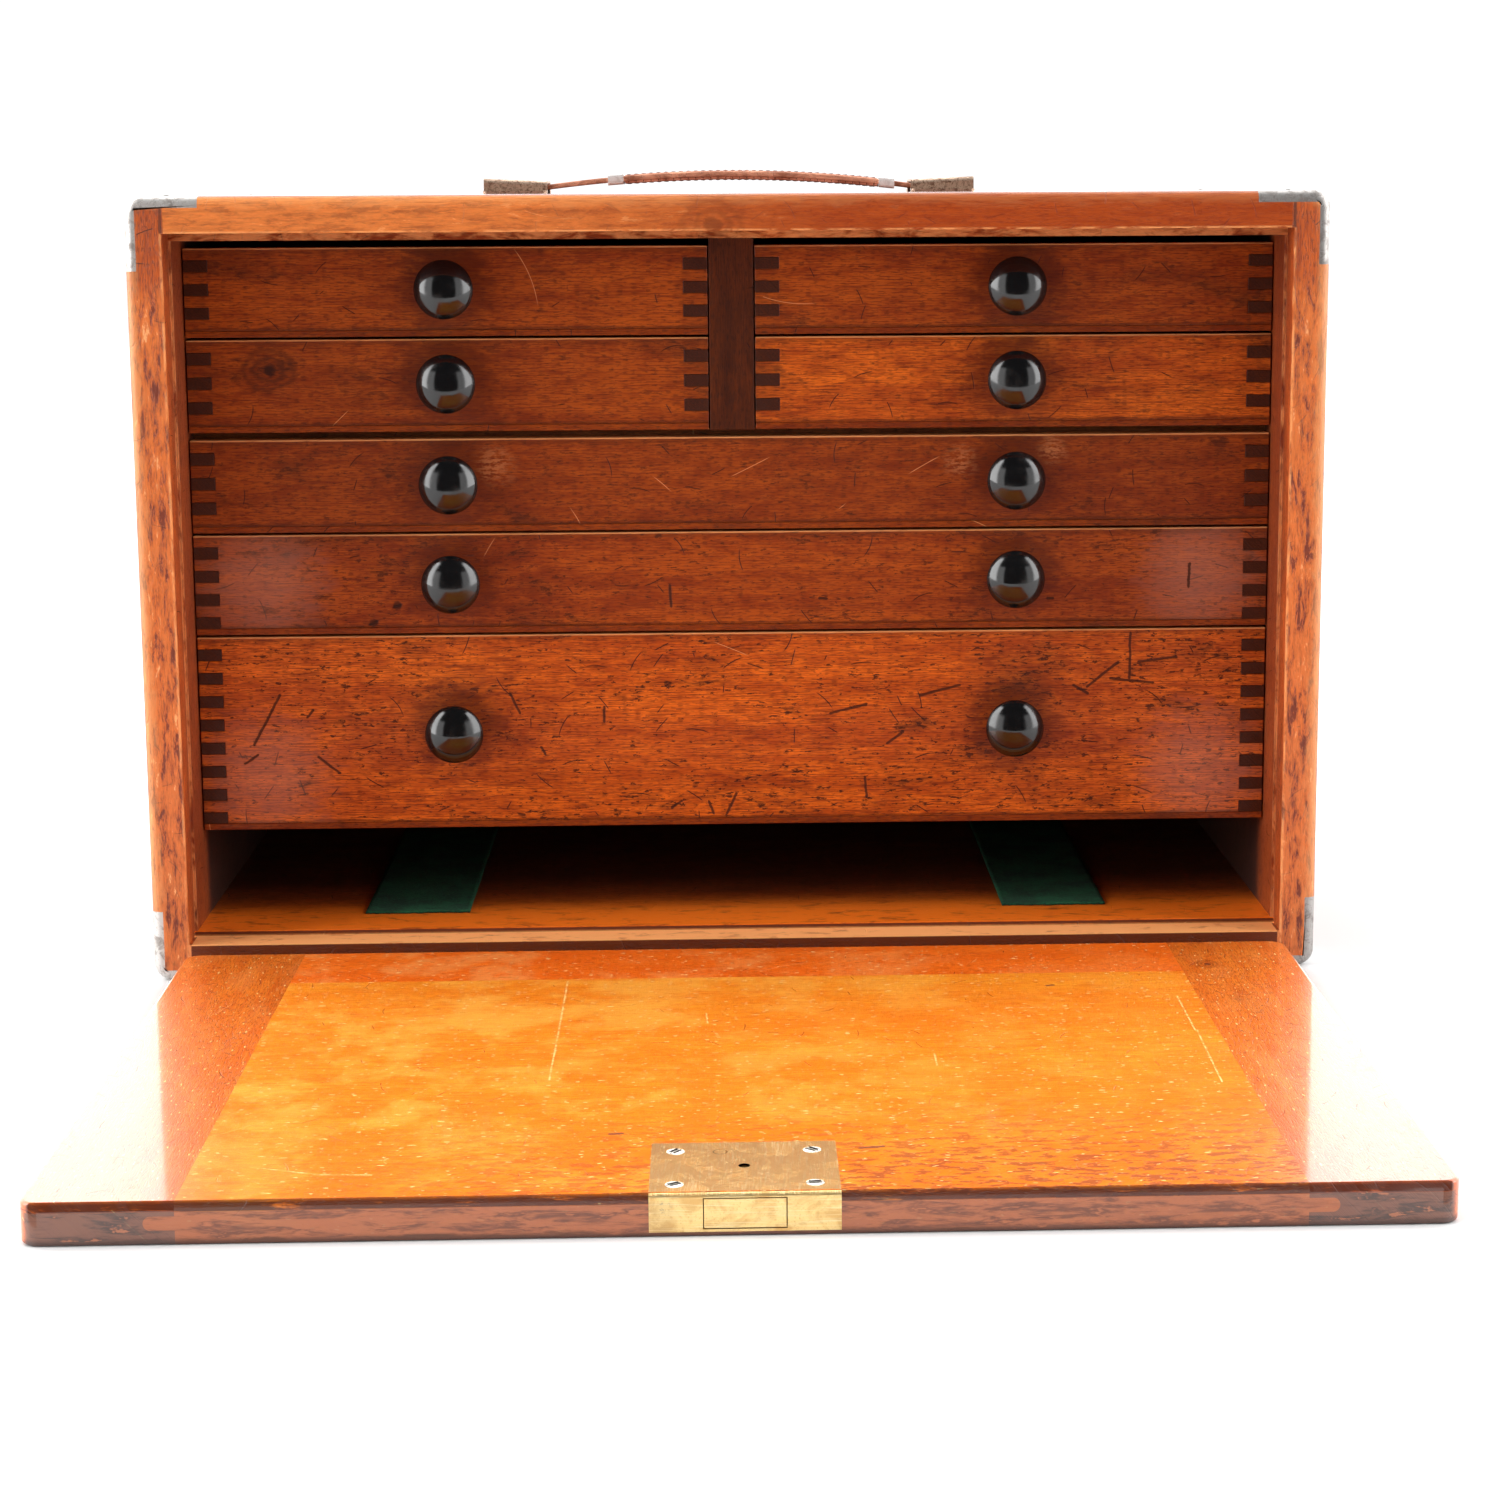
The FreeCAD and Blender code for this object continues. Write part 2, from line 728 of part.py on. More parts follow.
def slide_end():
    # Plate riveted under the strap's end; its inner edge meets the stops at the housing's mouth
    tip = housing_end - housing_sheet - slide_end_gap
    base = case_height + slide_lift
    top = case_height + strap_low_end + strap_end_thickness
    plate = block((tip - slide_length, tip), around(0, slide_width), (base, base + slide_plate))
    plate = plate.makeFillet(slide_corner, [edge for edge in plate.Edges if edge.BoundBox.ZLength > slide_plate / 2])
    rivets = []
    for x, y in rivet_places():
        rivets.append(rod(rivet_diameter / 2, top - base, (x, y, base), (0, 0, 1)))
        rivets.append(rod(rivet_head_diameter / 2, rivet_head_height, (x, y, top), (0, 0, 1)))
    return one_solid(plate.fuse(rivets).removeSplitter())


def housing():
    # Pressed cover, open below and at its mouth, with a flange along each side
    outer = side_profile(outline((housing_mouth, 0), (housing_end, 0), (housing_end, housing_height),
                                 (housing_mouth, housing_mouth_height), (housing_mouth, 0)), housing_width)
    edges = [edge for edge in outer.Edges if edge.BoundBox.ZMin > case_height + housing_mouth_height / 2
             and edge.BoundBox.XLength > housing_length / 2]
    outer = outer.makeFillet(housing_round, edges)
    inner_end = housing_end - housing_sheet
    inner_start = housing_mouth + housing_sheet
    slope = (housing_height - housing_mouth_height) / housing_length
    high_end = housing_height - housing_sheet - slope * housing_sheet
    high_start = housing_mouth_height - housing_sheet + slope * housing_sheet
    inner = side_profile(outline((inner_start, -overrun), (inner_end, -overrun), (inner_end, high_end),
                                 (inner_start, high_start), (inner_start, -overrun)),
                         housing_width - 2 * housing_sheet)
    flange = block((housing_mouth, housing_end), around(0, housing_flange_width),
                   (case_height, case_height + housing_flange))
    corners = [edge for edge in flange.Edges if edge.BoundBox.ZLength > housing_flange / 2]
    flange = flange.makeFillet(housing_round, corners)
    mouth_x = (housing_mouth - overrun, inner_start + overrun)
    stop_top = case_height + strap_low_end - slide_strap_gap / 2
    strap_way = block(mouth_x, around(0, strap_width + 2 * housing_mouth_gap),
                      (stop_top, case_height + housing_mouth_height - housing_sheet))
    slide_way = block(mouth_x, around(0, slide_width - 2 * housing_stop), (case_height - overrun, stop_top))
    body = outer.fuse(flange).cut(inner).cut(strap_way).cut(slide_way)
    return one_solid(cut(body.removeSplitter(), housing_screws()))


def build_handle():
    build_strap()
    save("handle_keepers", [keeper(keeper_left), keeper(keeper_right)])
    end = slide_end()
    save("handle_end_right", [end])
    save("handle_end_left", [one_solid(mirrored_x(end))])
    right = housing()
    save("handle_housings", [one_solid(mirrored_x(right)), right] + housing_screws())


os.makedirs("parts", exist_ok=True)
build_case()
build_baize()
for drawer in drawer_places():
    build_drawer(*drawer)
build_panel()
build_handle()
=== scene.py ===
import math
import random

import bmesh
import bpy
from mathutils import Matrix, Vector


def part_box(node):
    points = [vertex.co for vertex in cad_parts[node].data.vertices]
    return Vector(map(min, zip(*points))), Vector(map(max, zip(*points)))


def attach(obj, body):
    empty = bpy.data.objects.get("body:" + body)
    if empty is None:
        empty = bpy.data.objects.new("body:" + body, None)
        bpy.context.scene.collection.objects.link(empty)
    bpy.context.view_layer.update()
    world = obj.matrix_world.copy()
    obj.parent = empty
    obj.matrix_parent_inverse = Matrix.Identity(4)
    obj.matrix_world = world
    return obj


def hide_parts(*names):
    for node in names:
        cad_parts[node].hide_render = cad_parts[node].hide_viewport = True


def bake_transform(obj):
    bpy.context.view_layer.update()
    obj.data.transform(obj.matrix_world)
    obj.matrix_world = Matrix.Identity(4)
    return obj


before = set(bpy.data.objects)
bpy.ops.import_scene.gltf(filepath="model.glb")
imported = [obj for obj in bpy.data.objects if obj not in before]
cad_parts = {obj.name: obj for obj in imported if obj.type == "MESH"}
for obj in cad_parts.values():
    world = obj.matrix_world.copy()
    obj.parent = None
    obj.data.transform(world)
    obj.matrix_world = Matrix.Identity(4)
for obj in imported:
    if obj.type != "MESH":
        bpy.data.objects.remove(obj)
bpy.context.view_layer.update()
mm = 0.001


class Wire:
    # A shader socket that takes part in plain Python sums
    def __init__(self, finish, socket):
        self.finish = finish
        self.socket = socket

    def __add__(self, other):
        return self.finish.maths("ADD", self, other)

    def __radd__(self, other):
        return self.finish.maths("ADD", other, self)

    def __sub__(self, other):
        return self.finish.maths("SUBTRACT", self, other)

    def __rsub__(self, other):
        return self.finish.maths("SUBTRACT", other, self)

    def __mul__(self, other):
        return self.finish.maths("MULTIPLY", self, other)

    def __rmul__(self, other):
        return self.finish.maths("MULTIPLY", other, self)

    def __truediv__(self, other):
        return self.finish.maths("DIVIDE", self, other)

    def __pow__(self, other):
        return self.finish.maths("POWER", self, other)

    def __abs__(self):
        return self.finish.maths("ABSOLUTE", self)

    def __lt__(self, other):
        return self.finish.maths("LESS_THAN", self, other)

    def atMost(self, other):
        return self.finish.maths("MINIMUM", self, other)

    def atLeast(self, other):
        return self.finish.maths("MAXIMUM", self, other)

    def rise(self, low, high):
        # 0 below low, 1 above high, and smooth between
        values = {"Value": self, "From Min": low, "From Max": high}
        return self.finish.node("ShaderNodeMapRange", {"interpolation_type": "SMOOTHSTEP"}, values)

    def fall(self, low, high):
        return 1.0 - self.rise(low, high)


class Finish:
    # One material, or the world, whose nodes are added through node()
    relief = 0.3 * mm

    def __init__(self, name, fixed=None, owner=None):
        self.owner = owner or bpy.data.materials.new(name)
        self.owner.use_nodes = True
        self.nodes = self.owner.node_tree.nodes
        self.links = self.owner.node_tree.links
        self.shader = self.nodes.get("Principled BSDF")
        for socket, value in (fixed or {}).items():
            self.shader.inputs[socket].default_value = value

    def node(self, kind, settings=None, values=None, output=0):
        made = self.nodes.new(kind)
        for key, value in (settings or {}).items():
            setattr(made, key, value)
        for key, value in (values or {}).items():
            if isinstance(value, Wire):
                self.links.new(value.socket, made.inputs[key])
            else:
                made.inputs[key].default_value = value
        return Wire(self, made.outputs[output])

    def maths(self, operation, *values):
        return self.node("ShaderNodeMath", {"operation": operation}, dict(enumerate(values)))

    def feed(self, socket, wire):
        self.links.new(wire.socket, self.shader.inputs[socket])

    def place(self):
        return self.node("ShaderNodeTexCoord", output="Object")

    def split(self, vector):
        parts = self.node("ShaderNodeSeparateXYZ", values={"Vector": vector}).socket.node
        return [Wire(self, socket) for socket in parts.outputs]

    def join(self, x, y, z):
        return self.node("ShaderNodeCombineXYZ", values={"X": x, "Y": y, "Z": z})

    def spread(self, vector, size, turn=0.0, shift=0.0):
        # The vector, turned, in units of a feature's size, which is one length or one for each axis
        values = {"Vector": vector, "Location": (shift, shift * 0.7, shift * 0.3), "Rotation": (0, 0, turn),
                  "Scale": size if isinstance(size, tuple) else (size, size, size)}
        return self.node("ShaderNodeMapping", {"vector_type": "TEXTURE"}, values)

    def noise(self, vector, size, detail=2.0, rough=0.5, warp=0.0, turn=0.0, shift=0.0):
        values = {"Vector": self.spread(vector, size, turn, shift), "Scale": 1.0, "Detail": detail,
                  "Roughness": rough, "Distortion": warp}
        return self.node("ShaderNodeTexNoise", values=values)

    def fine(self, vector, size, detail, rough=0.5, shift=0.0):
        # Flat noise, for what is too small to matter in depth
        values = {"Vector": self.spread(vector, (*size, 1.0), 0.0, shift), "Scale": 1.0, "Detail": detail,
                  "Roughness": rough}
        return self.node("ShaderNodeTexNoise", {"noise_dimensions": "2D"}, values)

    def mix(self, share, below, above):
        settings = {"data_type": "RGBA", "clamp_factor": True}
        return self.node("ShaderNodeMix", settings, {0: share, 6: below, 7: above}, output=2)

    def over(self, share, colour, rough=None, sink=0.0):
        # Paints a colour where share is 1
        self.colour = self.mix(share, self.colour, colour)
        if rough is not None:
            self.rough = self.rough + (rough - self.rough) * share
        if sink:
            self.height = self.height - share * sink

    def bump(self, height, relief, strength=0.6):
        values = {"Height": height, "Distance": relief, "Strength": strength}
        self.feed("Normal", self.node("ShaderNodeBump", values=values, output="Normal"))

    def done(self):
        self.feed("Base Color", self.colour)
        self.feed("Roughness", self.rough)
        self.bump(self.height, self.relief)
        return self


def tint(red, green, blue):
    # A colour as a screen shows it, from 0 to 255, as the linear value that a shader takes
    screen = (red / 255, green / 255, blue / 255)
    linear = [v / 12.92 if v <= 0.04045 else ((v + 0.055) / 1.055) ** 2.4 for v in screen]
    return (*linear, 1.0)


def lengths(**sizes):
    # Millimetres as the scene's metres, alone or in tuples
    return {name: tuple(v * mm for v in size) if isinstance(size, tuple) else size * mm
            for name, size in sizes.items()}


# Wood

# What a wood's own look, below, doesn't say
plainLook = {"rough": 0.24, "coat": 0.0, "ior": 1.45, "dents": 0.3, "dentSize": 11 * mm, "lines": 0.2,
             "blotches": 0.4, "flecks": 0.3, "pores": 0.4}
drawerLook = dict(plainLook, pale=tint(190, 90, 18), deep=tint(140, 54, 8), pore=tint(46, 14, 4),
                  stain=tint(70, 28, 8), worn=tint(226, 150, 92), line=tint(112, 38, 6), rough=0.38,
                  coat=0.04, ior=1.32, dents=0.6, dentSize=12 * mm, lines=0.1, blotches=0.45, flecks=0.7)
caseLook = dict(plainLook, pale=tint(206, 98, 34), deep=tint(146, 58, 14), pore=tint(58, 20, 8),
                stain=tint(84, 34, 14), worn=tint(240, 166, 104), rough=0.42, coat=0.1, dents=0.7, flecks=0.5)
dividerLook = dict(plainLook, pale=tint(92, 40, 12), deep=tint(60, 24, 8), pore=tint(30, 12, 5),
                   stain=tint(34, 16, 8), worn=tint(140, 84, 56), rough=0.46, ior=1.25, lines=0.1,
                   blotches=0.3)
insideLook = dict(plainLook, pale=tint(172, 96, 46), deep=tint(122, 62, 26), pore=tint(72, 36, 18),
                  stain=tint(70, 38, 22), worn=tint(206, 150, 100), rough=0.55, ior=1.4)
boardLook = dict(plainLook, pale=tint(252, 158, 40), deep=tint(242, 130, 26), pore=tint(176, 82, 16),
                 stain=tint(196, 84, 16), worn=tint(255, 196, 84), line=tint(228, 112, 22),
                 head=tint(232, 112, 22), coat=0.5, dents=0.25, dentSize=10 * mm, lines=0.15, blotches=0.1,
                 flecks=0.1, pores=0.2)
railLook = dict(plainLook, pale=tint(255, 126, 32), deep=tint(236, 100, 18), pore=tint(150, 58, 14),
                stain=tint(178, 70, 18), worn=tint(255, 176, 96), head=tint(226, 92, 16), coat=0.4,
                dentSize=10 * mm, blotches=0.2, flecks=0.1)
battenLook = dict(plainLook, pale=tint(246, 134, 44), deep=tint(222, 104, 28), pore=tint(120, 50, 16),
                  stain=tint(150, 62, 20), worn=tint(255, 180, 106), head=tint(204, 84, 22), coat=0.85,
                  dents=0.5, dentSize=10 * mm, lines=0.4, blotches=0.25, flecks=0.2)
# Sizes along, across and through the grain, or along and across it
grainSize = lengths(mottle=(11, 4.5, 4.5), bands=(140, 8, 20), stains=(45, 20, 20), fibre=(16, 0.5),
                    pores=(2.8, 0.45), flecks=(4.6, 1.4), endPores=(0.9, 0.5), endDepth=0.4, hairLines=34)


class Wood(Finish):
    # Grain, pores, stains and dents in one board's own directions; the rest is painted over it by name
    def __init__(self, name, look, axis="X", seed=0.0):
        super().__init__(name, {"Coat Roughness": 0.08, "IOR": look["ior"], "Coat Weight": look["coat"]})
        self.look = look
        self.where = self.place()
        self.x, self.y, self.z = self.split(self.where)
        along, across, through = {"X": (self.x, self.z, self.y), "Y": (self.y, self.x, self.z),
                                  "Z": (self.z, self.x, self.y)}[axis]
        self.grain = self.join(along + seed, across, through)
        self.skin = self.join(along + seed, across + through, 0.0)
        self.mottle = self.noise(self.grain, grainSize["mottle"], 3.0, 0.65, 0.5)
        bands = self.noise(self.grain, grainSize["bands"], 1.0, 0.5, 0.5, shift=0.3)
        fibre = self.fine(self.skin, grainSize["fibre"], 2.0, 0.6)
        pores = self.fine(self.skin, grainSize["pores"], 0.0).rise(0.6, 0.68)
        self.rough = look["rough"] + fibre * 0.14
        self.height = fibre * 0.3 - pores * 0.4
        self.colour = self.mix((bands * 0.4 + self.mottle * 0.6).rise(0.3, 0.7), look["deep"], look["pale"])
        self.over(fibre.rise(0.42, 0.7) * 0.7, look.get("line", look["deep"]))
        self.over(pores * look["pores"], look["pore"])
        stains = self.noise(self.grain, grainSize["stains"], 3.0, 0.6, 0.6, shift=0.37)
        self.over(stains.rise(0.53, 0.72) * (look["blotches"] * 0.8), look["stain"])
        self.over((self.mottle + stains * 0.5).rise(0.88, 0.96) * look["blotches"], look["pore"], 0.6)
        self.flecks = self.fine(self.skin, grainSize["flecks"], 3.0, 0.72, 0.7)
        spots = (self.flecks + self.mottle * 0.35 + stains * 0.3).rise(0.93, 1.0)
        self.over(spots * look["flecks"], look["pore"], 0.6, 0.4)
        self.dents(look["dentSize"], look["dents"], look["pore"], length=0.45, width=0.024, shift=0.1)
        self.dents(grainSize["hairLines"], look["lines"], look["worn"], length=0.42, width=0.0055, shift=0.6)

    def dents(self, size, chances, colour, length, width, shift):
        # At most one straight mark in each cell of the skin, turned at random; lengths are in cells
        spread = self.spread(self.skin, size, 0.0, shift)
        values = {"Vector": spread, "Scale": 1.0}
        cell = self.node("ShaderNodeTexVoronoi", {"voronoi_dimensions": "2D"}, values)
        outputs = cell.socket.node.outputs
        chance, angle, reach = self.split(Wire(self, outputs["Color"]))
        middle = self.split(Wire(self, outputs["Position"]))
        here = self.split(spread)
        right, up = here[0] - middle[0], here[1] - middle[1]
        angle = angle * 6.283
        cosine, sine = self.maths("COSINE", angle), self.maths("SINE", angle)
        along = abs(right * cosine + up * sine)
        across = abs(right * sine - up * cosine + along * along * (reach - 0.5))
        ends = along.fall(length * 0.5, length) * (along - reach * length).fall(-0.05, 0.05)
        mark = across.fall(width * 0.4, width) * ends * (chance < chances)
        self.over(mark * 0.85, colour, 0.6)
        self.height = self.height - mark * 1.2

    def near(self, coordinate, value, reach, fray=0.5):
        # 1 at a plane and 0 beyond reach, with a ragged limit
        gap = abs(coordinate - value)
        if fray:
            gap = gap + (self.mottle - 0.5) * (2.5 * reach * fray)
        return gap.fall(reach * 0.35, reach)

    def ring(self, place, inner, outer):
        # 1 inside inner and 0 beyond outer, round a place seen from the front
        gap = ((self.x - place[0]) ** 2.0 + (self.z - place[1]) ** 2.0) ** 0.5
        return (gap + (self.mottle - 0.5) * (outer * 0.8)).fall(inner, outer)

    def knot(self, across, up, place, size):
        # Dark rings round a dark heart
        gap = (((across - place[0]) * 0.75) ** 2.0 + (up - place[1]) ** 2.0) ** 0.5
        gap = gap + (self.mottle - 0.5) * (size * 0.5)
        rings = self.maths("SINE", gap * (22.0 / size)) * 0.5 + 0.5
        self.over(gap.fall(size * 0.5, size) * (rings * 0.55 + 0.15), self.look["stain"])
        self.over(gap.fall(size * 0.12, size * 0.25) * 0.85, self.look["pore"], 0.55)

    def cuts(self, across, up, places, width, colour, strength=0.8, sink=0.0):
        # Cuts with ragged sides, each from one place to another, in millimetres
        wobble = (self.mottle - 0.5) * (width * 1.6)
        found = None
        for x0, y0, x1, y1 in places:
            length = math.hypot(x1 - x0, y1 - y0) * mm
            right, ahead = (x1 - x0) * mm / length, (y1 - y0) * mm / length
            here, there = across - (x0 + x1) / 2 * mm, up - (y0 + y1) / 2 * mm
            beyond = (abs(here * right + there * ahead) - length / 2).atLeast(0.0)
            gap = abs(here * ahead - there * right + wobble) + beyond
            found = found.atMost(gap) if found else gap
        self.over(found.fall(width * 0.4, width) * strength, colour, 0.55, sink)

    def endGrain(self, coordinate, value, share=1.0):
        # Dark, close end grain on the faces that lie at one plane
        pith = self.fine(self.join(self.x + self.y, self.z, 0.0), grainSize["endPores"], 1.0)
        ends = self.near(coordinate, value, grainSize["endDepth"], 0.0) * (pith * 0.35 + 0.72).atMost(1.0)
        self.over(ends * share, tint(50, 20, 8), 0.5)


# Mesh helpers

sharpAngle = math.radians(25)
nearly = 0.05 * mm  # closer than this counts as touching


def addPiece(name, bm, finish, body, nodes=(), smooth=30.0, even=False):
    mesh = bpy.data.meshes.new(name)
    bm.normal_update()
    bm.to_mesh(mesh)
    bm.free()
    mesh.materials.append(finish.owner)
    mesh.shade_smooth()
    mesh.set_sharp_from_angle(angle=math.radians(smooth))
    piece = bpy.data.objects.new(name, mesh)
    bpy.context.collection.objects.link(piece)
    if even:
        piece.modifiers.new("even", "WEIGHTED_NORMAL").keep_sharp = True
    if nodes:
        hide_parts(*nodes)
    if body:
        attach(piece, body)
    return piece


def mergedCopy(node):
    bm = bmesh.new()
    bm.from_mesh(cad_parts[node].data)
    bmesh.ops.remove_doubles(bm, verts=bm.verts, dist=1e-6)
    bmesh.ops.dissolve_limit(bm, angle_limit=math.radians(1.0), verts=bm.verts, edges=bm.edges)
    return bm


def softenEdges(bm, width):
    sharp = [edge for edge in bm.edges if len(edge.link_faces) == 2 and edge.is_convex
             and edge.calc_face_angle() > sharpAngle and edge.calc_length() > 3 * width]
    bmesh.ops.bevel(bm, geom=sharp, offset=width, offset_type="OFFSET", affect="EDGES", segments=2,
                    profile=0.5, material=-1, clamp_overlap=True)


def softened(node, name, width, finish, body, smooth=30.0):
    # Stands for a CAD node, with its edges worn round
    bm = mergedCopy(node)
    softenEdges(bm, width)
    return addPiece(name, bm, finish, body, (node,), smooth, True)


def dress(node, finish):
    # A CAD node that keeps its own mesh
    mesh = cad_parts[node].data
    mesh.materials.clear()
    mesh.materials.append(finish.owner)


def facing(at, out):
    # A place and a turn that take +Z to the direction out
    return Matrix.Translation(at) @ Vector(out).to_track_quat("Z", "Y").to_matrix().to_4x4()


# Case

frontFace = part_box("case_side_left")[0].y
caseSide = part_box("case_side_right")[1].x
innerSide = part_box("case_side_right")[0].x
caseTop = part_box("case_top")[1].z

# Sizes and places of marks; most pairs are the two distances between which a mark fades in or out
caseWear = lengths(soft=0.4, insideSoft=0.3, front=2.5, outside=(0.6, 1.2), rebate=14, rubbed=(13, 3, 3),
                   smooth=(262, 274), corner=6, streaks=(18, 1.1), knot=(-7.2, 292.8), knotSize=13,
                   shadeAt=24, shade=22, wall=(0.4, 0.8), wallDark=(28, 50), arris=0.9, joint=0.9, mouth=1.1,
                   mouthIn=1.0, topCoat=(0.5, 1.0), relief=0.5)
ledge = lengths(top=14.5, onTop=(0.2, 0.5), back=(13.6, 14.2), riserFoot=(0.2, 0.7), riser=(14.4, 15.4),
                bed=(16.0, 16.3), lit=(30, 70), dark=(40, 100))


def rubbedFront(wood, front, upright):
    # Varnish rubbed off and split on the front edges, less so where hands and light keep them smooth
    rubbed = wood.noise(wood.grain, caseWear["rubbed"], 4.0, 0.75, 0.3, shift=0.2)
    smooth = wood.z.rise(*caseWear["smooth"]) if upright else wood.x.rise(-0.1, 0.1) * 0.6 + 0.25
    rough = front * (1.0 - smooth)
    wood.over(rough * rubbed.rise(0.36, 0.6) * 0.65, tint(236, 130, 58), 0.5)
    wood.over(rough * rubbed.fall(0.38, 0.45) * 0.85, tint(108, 38, 12), 0.6, 0.8)
    wood.over(rough * (rubbed + wood.mottle * 0.6).rise(0.94, 1.02) * 0.8, tint(250, 180, 116), 0.6, 0.5)
    # Paler towards the outer corners of the front: worn, and a painted highlight along the outer edges
    for coordinate, value in ((abs(wood.x), caseSide), (wood.z, caseTop)):
        corner = wood.near(coordinate, value, caseWear["corner"], 0.5)
        wood.over(corner * front * 0.5, caseLook["worn"], 0.5)
    return rubbed


def railMarks(wood, front, rubbed):
    # The rail over the drawers: streaks, a knot, lighter on the left and darker on the right
    streaks = wood.fine(wood.skin, caseWear["streaks"], 3.0, 0.65, 0.4)
    wood.over(front * streaks.rise(0.5, 0.68) * 0.55, tint(128, 46, 10), 0.5, 0.3)
    wood.knot(wood.x, wood.z, caseWear["knot"], caseWear["knotSize"])
    wood.over(front * (wood.x.rise(-0.16, 0.1) * 0.6 + 0.05), tint(154, 56, 6))
    wood.over(front * wood.x.fall(-0.12, 0.06) * (rubbed * 0.6 + 0.1), tint(246, 150, 76), 0.5)


def ledgePaintedLightAndShade(wood, front):
    # Painted light and shade on the ledge that the panel's foot stands on, its riser and the bed of the slot
    # behind it
    depth = wood.y - frontFace
    onTop = (ledge["top"] - wood.z).fall(*ledge["onTop"])
    patchy = 1.0 - wood.mottle.rise(0.55, 0.7) * 0.5
    # Painted highlight on the ledge's top, in patches
    wood.over(depth.fall(*ledge["back"]) * onTop * patchy, tint(255, 176, 108), 0.5)
    # Painted shade on the ledge's front face
    wood.over(front * (1.0 - onTop) * 0.94, tint(100, 42, 14), 0.5)
    # Painted shade on the riser behind the ledge
    riser = (wood.z - ledge["top"]).rise(*ledge["riserFoot"]) * depth.fall(*ledge["riser"])
    wood.over(riser * 0.95, tint(92, 36, 10), 0.5)
    bed = wood.z.rise(*ledge["bed"])
    # Painted light on the front of the bed, and painted shade deeper in the slot
    wood.over(bed * depth.fall(*ledge["lit"]) * wood.mottle.rise(0.2, 0.5) * 0.9, tint(250, 122, 26), 0.5)
    wood.over(bed * depth.rise(*ledge["dark"]) * 0.75, tint(62, 38, 22), 0.6)


def mouthShadeAndWear(wood, front, outside, upright):
    # Painted shade on the walls inside, and a pale line along the rebate and round the opening, worn and a
    # painted highlight
    depth = wood.y - frontFace
    shade = wood.near(depth, caseWear["shadeAt"], caseWear["shade"], 0.0) * (1.0 - front)
    wood.over(shade * 0.5, tint(92, 34, 10))
    arris = wood.near(depth, caseWear["rebate"], caseWear["arris"], 0.3) * (1.0 - outside) * 0.7
    mouth = (wood.z, caseTop - caseWear["rebate"])
    if upright:
        # Painted shade, near black, on the side walls deep inside
        wall = (abs(wood.x) - innerSide).fall(*caseWear["wall"]) * depth.rise(*caseWear["wallDark"])
        wood.over(wall * 0.9, tint(22, 9, 5), 0.7)
        above = wood.z.rise(mouth[1] - caseWear["soft"], mouth[1] + caseWear["soft"])
        mouth = (abs(wood.x), innerSide + caseWear["mouthIn"])
        joint = wood.near(*mouth, caseWear["joint"], 0.2)
        wood.over(joint * front * above * 0.75, tint(74, 28, 10), 0.6)
        arris = arris * (1.0 - above)
        front = front * (1.0 - above)
    # Pale line along the rebate and round the opening: worn, and a painted highlight
    arris = arris + wood.near(*mouth, caseWear["mouth"], 0.4) * front
    wood.over(arris.atMost(1.0) * wood.mottle.rise(0.35, 0.6) * 0.7, tint(250, 170, 104), 0.5)


def caseFinish(name, axis, seed):
    upright = axis == "Z"
    wood = Wood(name, caseLook if upright else dict(caseLook, ior=1.3, blotches=0.25), axis, seed)
    front = wood.near(wood.y, frontFace, caseWear["front"], 0.0)
    across, limit = (abs(wood.x), caseSide) if upright else (wood.z, caseTop)
    outside = (limit - across).fall(*caseWear["outside"])
    wood.over(outside * (1.0 - front) * 0.6, tint(104, 50, 20))
    rubbed = rubbedFront(wood, front, upright)
    if name == "caseTopWood":
        railMarks(wood, front, rubbed)
    if name == "caseBottomWood":
        ledgePaintedLightAndShade(wood, front)
    else:
        mouthShadeAndWear(wood, front, outside, upright)
    wood.endGrain(*((wood.z, caseTop) if upright else (abs(wood.x), caseSide)), 0.5)
    wood.relief = caseWear["relief"]
    return wood.done()


uprightWood = caseFinish("caseSideWood", "Z", 0.0)
levelWood = caseFinish("caseTopWood", "X", 0.4)
levelWood.feed("Coat Weight", (caseTop - levelWood.z).fall(*caseWear["topCoat"]) * 0.5 + 0.05)
floorWood = caseFinish("caseBottomWood", "X", 0.9)
for part, finish in (("side_left", uprightWood), ("side_right", uprightWood), ("top", levelWood),
                     ("bottom", floorWood)):
    softened("case_" + part, "board_" + part, caseWear["soft"], finish, "root")

insideWood = Wood("insideWood", insideLook, "X", 1.3).done()
insideDeepWood = Wood("insideDeepWood", insideLook, "Y", 1.7).done()
dividerWood = Wood("dividerWood", dividerLook, "Z", 2.1).done()
softened("case_back", "board_back", caseWear["insideSoft"], insideWood, "root")
softened("centre_divider", "board_divider", caseWear["soft"], dividerWood, "root")
softened("drawer_shelf", "board_shelf", caseWear["insideSoft"], insideWood, "root")
dress("drawer_runners", insideDeepWood)
print("case boards made")


# Drawers

knobShape = lengths(foot=7.0, footOut=1.2, footSoft=0.3, neck=5.5, neckOut=4.0, rim=11.5, rimRound=1.4,
                    face=14.7, out=18.5, hollow=0.35, haze=5, relief=0.06)
knobTurns = 72
knobScrew = lengths(radius=4, proud=0.3, slot=0.9, depth=1.0, under=0.4, seat=1.9)

knobBlack = Finish("knobBlack", {"IOR": 1.5, "Coat Weight": 0.3, "Coat Roughness": 0.05})
haze = knobBlack.noise(knobBlack.place(), knobShape["haze"], 3.0, 0.65)
knobBlack.feed("Roughness", haze.rise(0.35, 0.75) * 0.16 + 0.1)
knobBlack.feed("Base Color", knobBlack.mix(haze.rise(0.5, 0.8) * 0.5, tint(14, 14, 15), tint(38, 36, 34)))
knobBlack.bump(haze, knobShape["relief"], 0.4)


